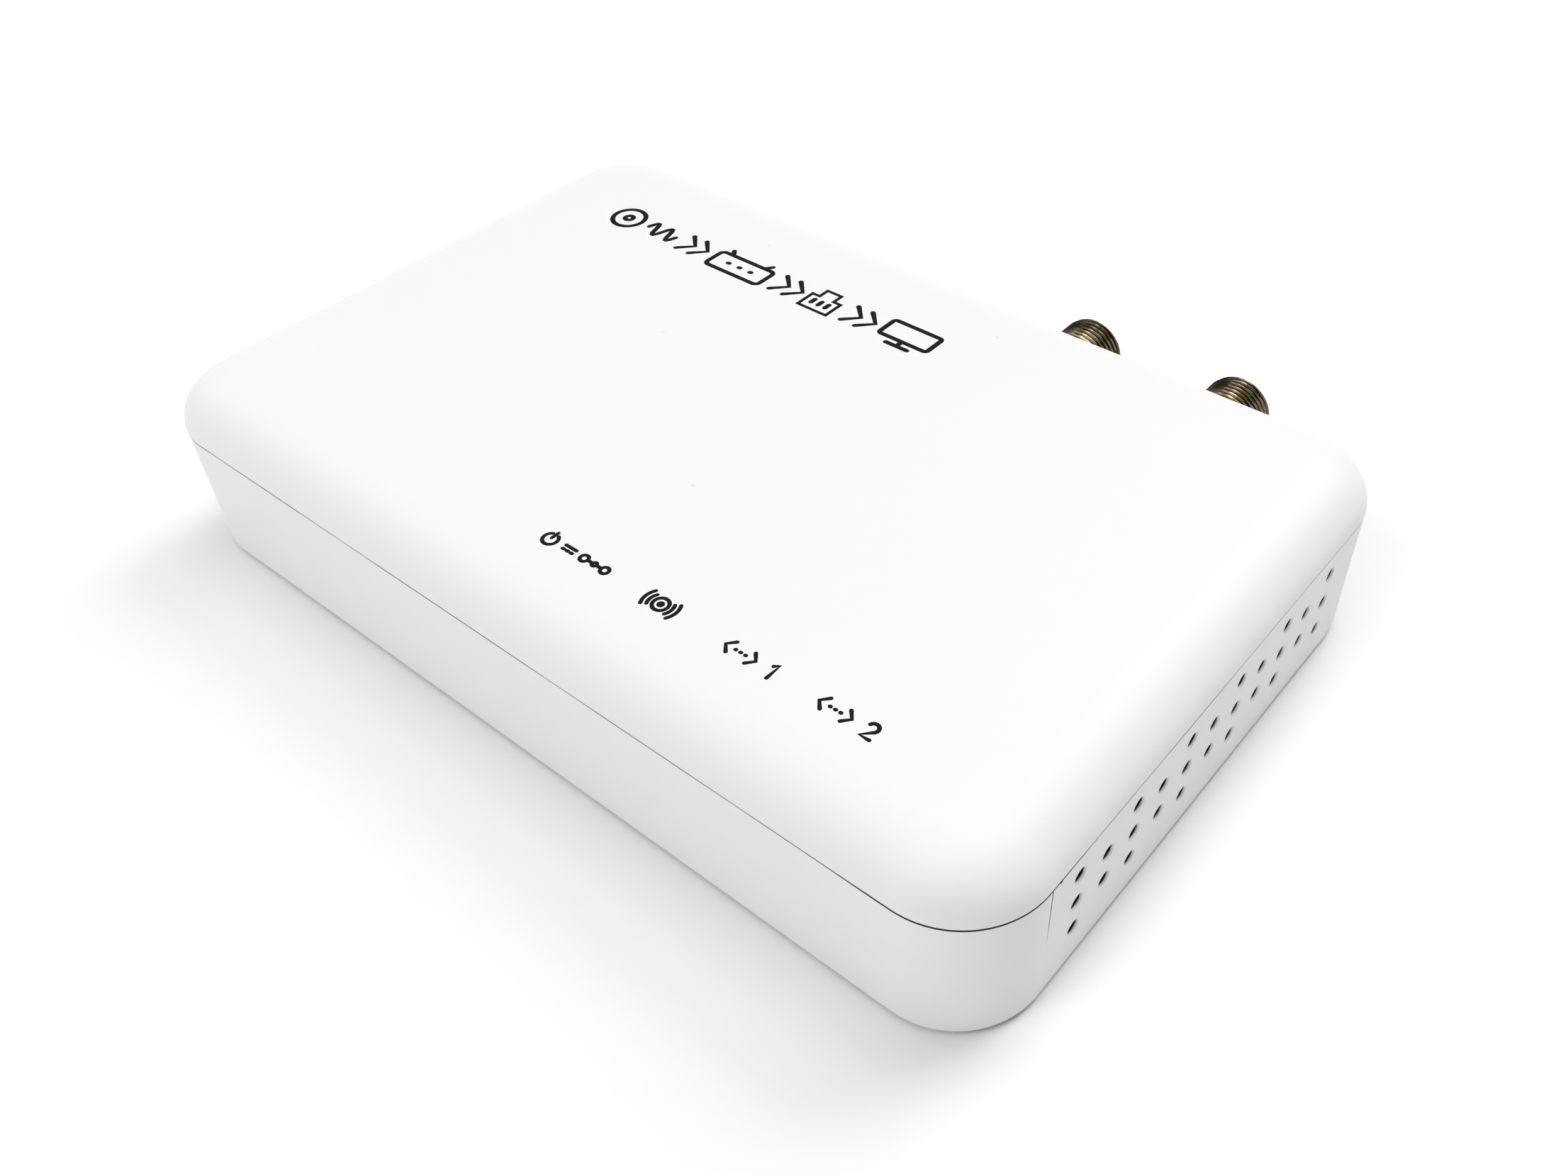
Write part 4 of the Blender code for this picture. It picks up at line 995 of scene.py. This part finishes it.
def add_stroke(mark, points, width, closed):
    """A printed line of the given width, with round ends unless it is closed."""
    route = [(x, y, 0.0, 1.0) for x, y in points]
    if not closed:
        start, end = (round_end(points[a], points[b], width) for a, b in ((1, 0), (-2, -1)))
        route = start[::-1] + route + end
    add_spline(mark, route, closed)


def round_end(before, end, width):
    """Points past the end of a stroke, thinning along a half circle."""
    step = (Vector(end) - Vector(before)).normalized() * width / 2
    points = []
    for angle in map(math.radians, (30, 55, 75, 88)):
        place = Vector(end) + step * math.sin(angle)
        points.append((place.x, place.y, 0.0, math.cos(angle)))
    return points


def ring_points(x, y, radius, start=0.0, end=360.0, steps=40):
    points = arc((x, y), (radius, radius), start, end, steps)
    return points[:-1] if end - start >= 360.0 else points


def dash(x, y, half):
    return [(x - half, y), (x + half, y)], False


def chevron(x, y, reach, rise):
    """Two arms that meet at x, y and open towards x + reach."""
    return [(x + reach, y + rise), (x, y), (x + reach, y - rise)], False


def power_sign(x, y, size):
    """Circle with a gap and a bar, direct-current bars, and the polarity rings."""
    r = size / 2
    yield ring_points(x, y - 0.05 * size, r * 0.9, 120, 420), False
    yield [(x, y + r * 1.05), (x, y + 0.05 * size)], False
    bars = x + 1.45 * size
    yield dash(bars, y + r * 0.28, r * 0.8)
    for step in (-1, 0, 1):
        yield dash(bars + step * r * 0.62, y - r * 0.32, r * 0.12)
    rings, apart = x + 2.6 * size, size * 0.78
    for step, radius in enumerate((0.5, 0.28, 0.5)):
        yield ring_points(rings + step * apart, y, r * radius), True
    yield [(rings + r * 0.5, y), (rings + apart - r * 0.28, y)], False
    yield [(rings + apart + r * 0.28, y), (rings + 2 * apart - r * 0.5, y)], False


def coax_sign(x, y, size):
    """End view of a coaxial socket between signal waves."""
    r, x = size / 2, x + 1.3 * size
    for radius in (0.92, 0.22):
        yield ring_points(x, y, r * radius), True
    for middle in (180, 0):
        for reach in (1.5, 2.15):
            yield ring_points(x, y, r * reach, middle - 32, middle + 32, 12), False


def port_sign(x, y, size):
    """Chevrons round three dots."""
    r = size / 2
    for side, at in ((1, x), (-1, x + 2.0 * size)):
        yield chevron(at, y, side * r * 0.75, r * 0.85)
    for step in (-1, 0, 1):
        yield dash(x + size + step * r * 0.65, y, 0.02 * size)


def digit_one(x, y, r):
    yield [(x - r * 0.45, y + r * 0.6), (x, y + r), (x, y - r)], False


def digit_two(x, y, r):
    top = ring_points(x, y + r * 0.42, r * 0.56, 160, -40, 14)
    yield top + [(x - r * 0.58, y - r), (x + r * 0.6, y - r)], False


def arrow(x, y, r):
    for at in (x, x + r):
        yield chevron(at + r * 0.8, y, -r * 0.8, r * 0.8)


def route_signs(x, y, height):
    """A row of device signs, from the coax socket to the screen, joined by arrows."""
    r = height / 2
    for radius in (1.0, 0.25):
        yield ring_points(x + r, y, r * radius), True
    wave = [(x + height * (1.35 + step * 0.055), y + r * 0.6 * math.sin(step * math.pi / 5))
            for step in range(21)]
    yield wave, False
    yield from arrow(x + height * 2.85, y, r)
    box = x + height * 5.1
    yield rounded_box(box, y - r * 0.2, height * 2.0, height * 0.8, r * 0.3), True
    for step in (-1, 0, 1):
        yield dash(box + step * height * 0.42, y - r * 0.2, 0.02 * height)
    for side in (-1, 1):
        yield [(box + side * height * 0.6, y + r * 0.6), (box + side * height * 0.75, y + r)], False
    yield from arrow(x + height * 6.5, y, r)
    port = x + height * 8.15
    half = [(-1.0, -1.0), (-1.0, 0.3), (-0.5, 0.3), (-0.5, 1.0)]
    plug = half + [(-across, up) for across, up in half[::-1]]
    yield [(port + across * r, y + up * r) for across, up in plug], True
    for step in (-1, 0, 1):
        at = port + step * r * 0.5
        yield [(at, y - r * 0.45), (at, y - r * 0.1)], False
    yield from arrow(x + height * 9.1, y, r)
    screen = x + height * 11.1
    yield rounded_box(screen, y + r * 0.25, height * 1.6, height * 0.75, r * 0.2), True
    yield [(screen, y - r * 0.5), (screen, y - r)], False
    yield dash(screen, y - r, r * 0.7)


def printed(name, strokes, width, ink):
    """One printed mark: strokes squashed flat, whose upper side stands just proud of the lid."""
    mark = new_curve(name, width / 2, 2, ink)
    for points, closed in strokes:
        add_stroke(mark, points, width, closed)
    mark.scale = (1.0, 1.0, 2 * INK_HEIGHT / width * 0.9)
    mark.location = (0.0, MIDDLE_Y, TOP)
    stand_for(mark, "black_moulding")


def make_print(ink):
    row, size, thin, thick = -31.6 * MM, 2.1 * MM, 0.50 * MM, 0.78 * MM
    printed("print_power", power_sign(-1.4 * MM, row, size), thin, ink)
    printed("print_coax", coax_sign(13.3 * MM, row, size), thin, ink)
    for number, x, digit in ((1, 25.6 * MM, digit_one), (2, 38.4 * MM, digit_two)):
        marks = list(port_sign(x, row, size)) + list(digit(x + 6.6 * MM, row, size / 2))
        printed(f"print_port_{number}", marks, thin, ink)
    printed("print_route", route_signs(-49.9 * MM, 25.3 * MM, 5.0 * MM), thick, ink)


# ---- inner parts and stage

def finish_inner_parts(finishes):
    """Give the CAD meshes that stay visible their own worked materials."""
    for prefix, finish in finishes.items():
        for name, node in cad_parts.items():
            if name.startswith(prefix) and not node.hide_render:
                node.data.materials.clear()
                node.data.materials.append(finish)


def make_floor():
    finish = Finish("studio_floor", 0.9, Specular_IOR_Level=0.0)
    finish.colour(finish.mix(finish.noise(0.4, 1.0), (0.93, 0.93, 0.935), (0.94, 0.94, 0.945)))
    bm = bmesh.new()
    bmesh.ops.create_grid(bm, x_segments=2, y_segments=2, size=FLOOR_REACH)
    shown("floor", bm, finish.material)


def make_world():
    """A dim white world that turns pale towards the horizon and below it."""
    world = bpy.data.worlds.new("studio")
    bpy.context.scene.world = world
    world.use_nodes = True
    nodes, link = world.node_tree.nodes, world.node_tree.links.new
    place, height = nodes.new("ShaderNodeTexCoord"), nodes.new("ShaderNodeSeparateXYZ")
    fade = nodes.new("ShaderNodeMapRange")
    for socket, number in zip(fade.inputs[1:5], (*HORIZON, 1.0, WORLD_STRENGTH)):
        socket.default_value = number
    link(place.outputs["Generated"], height.inputs[0])
    link(height.outputs["Z"], fade.inputs["Value"])
    link(fade.outputs["Result"], nodes["Background"].inputs["Strength"])
    nodes["Background"].inputs["Color"].default_value = (*NEUTRAL, 1.0)


def make_light(name, colour, heading, climb, share, size, distance):
    """A round softbox; a white surface that faces it gets that share of full brightness."""
    heading, climb = math.radians(heading), math.radians(climb)
    flat = math.cos(climb)
    place = Vector((flat * math.cos(heading), flat * math.sin(heading), math.sin(climb))) * distance
    data = bpy.data.lights.new(name, 'AREA')
    data.shape = 'DISK'
    data.size = size * distance
    data.energy = share * (math.pi * distance) ** 2
    data.color = colour
    light = placed(name, data)
    light.location = place
    light.rotation_euler = place.to_track_quat('Z', 'Y').to_euler()


def make_camera():
    """Camera from the right front, looking down across the lid."""
    heading, climb, roll = (math.radians(angle) for angle in CAMERA_TURN)
    data = bpy.data.cameras.new("camera")
    data.sensor_width = 36.0
    data.lens = 32.38
    data.shift_x = -0.0548
    data.shift_y = 0.0038
    data.clip_start = 0.005
    camera = placed("camera", data)
    camera.matrix_world = (Matrix.Translation(CAMERA_PLACE) @ Matrix.Rotation(heading, 4, 'Z')
                           @ Matrix.Rotation(RIGHT_ANGLE + climb, 4, 'X')
                           @ Matrix.Rotation(roll, 4, 'Z'))
    bpy.context.scene.camera = camera


def main():
    bpy.context.scene.view_settings.view_transform = 'Standard'
    make_camera()
    make_floor()
    make_world()
    for light in LIGHTS:
        make_light(*light)
    white = white_shell()
    gold = metal("contact_gold_plate", (0.75, 0.50, 0.16), (0.90, 0.66, 0.28), 0.22)
    black = moulding("moulding_black", (0.012, 0.012, 0.013), (0.03, 0.03, 0.032), 0.48)
    tin = metal("tin_plate", (0.52, 0.53, 0.54), (0.70, 0.71, 0.72), 0.30, (1.0, 1.0, 8.0))
    steel = metal("zinc_steel", (0.42, 0.43, 0.45), (0.62, 0.63, 0.66), 0.32)
    dielectric = moulding("dielectric_white", (0.72, 0.71, 0.66), (0.80, 0.79, 0.75), 0.45)
    rubber = moulding("foot_rubber", (0.012, 0.012, 0.012), (0.035, 0.035, 0.035), 0.85, 0.0002)
    make_bottom_case(white, vent_bore())
    make_cover(white)
    for number in (1, 2):
        brass = thread_brass(f"bronze_brass_{number}", *socket_axis(number))
        make_barrel(number, brass)
        make_solder_block(number, brass)
        make_coax_core(number, dielectric, gold)
        make_lan_shield(number, tin)
        make_lan_housing(number, black)
        make_lan_contacts(number, gold)
        make_screw(f"board_screw_{number}", f"board_fixing_{number}", steel, False)
    for number in range(1, 5):
        make_foot(number, rubber)
        make_screw(f"case_screw_{number}", f"case_fixing_{number}", steel, True)
    make_power_socket(black, steel)
    make_reset(black)
    make_label(label_film())
    make_print(pad_ink())
    finishes = {
        "main_board": board_mask(),
        "power_inductor": moulding("ferrite_grey", (0.06, 0.06, 0.065), (0.12, 0.12, 0.125), 0.7, 0.0002),
        "capacitor": moulding("capacitor_sleeve", (0.03, 0.035, 0.06), (0.05, 0.055, 0.09), 0.4),
        "heatsink": metal("heatsink_aluminium", (0.62, 0.63, 0.64), (0.74, 0.75, 0.76), 0.4,
                          (1.0, 9.0, 1.0)),
        "thermal_pad": moulding("thermal_pad_grey", (0.30, 0.35, 0.42), (0.38, 0.43, 0.50), 0.9),
        "status_led": moulding("led_phosphor", (0.75, 0.66, 0.22), (0.85, 0.78, 0.35), 0.3),
        "light_guide": clear_acrylic(), "rf_shield": tin, "clock_crystal": tin,
        "power_jack_spring": gold, "lan_transformer": black,
    }
    chips = ("processor", "memory", "flash", "ethernet", "regulator", "rf_chip")
    finish_inner_parts(finishes | dict.fromkeys(chips, chip_epoxy()))


main()
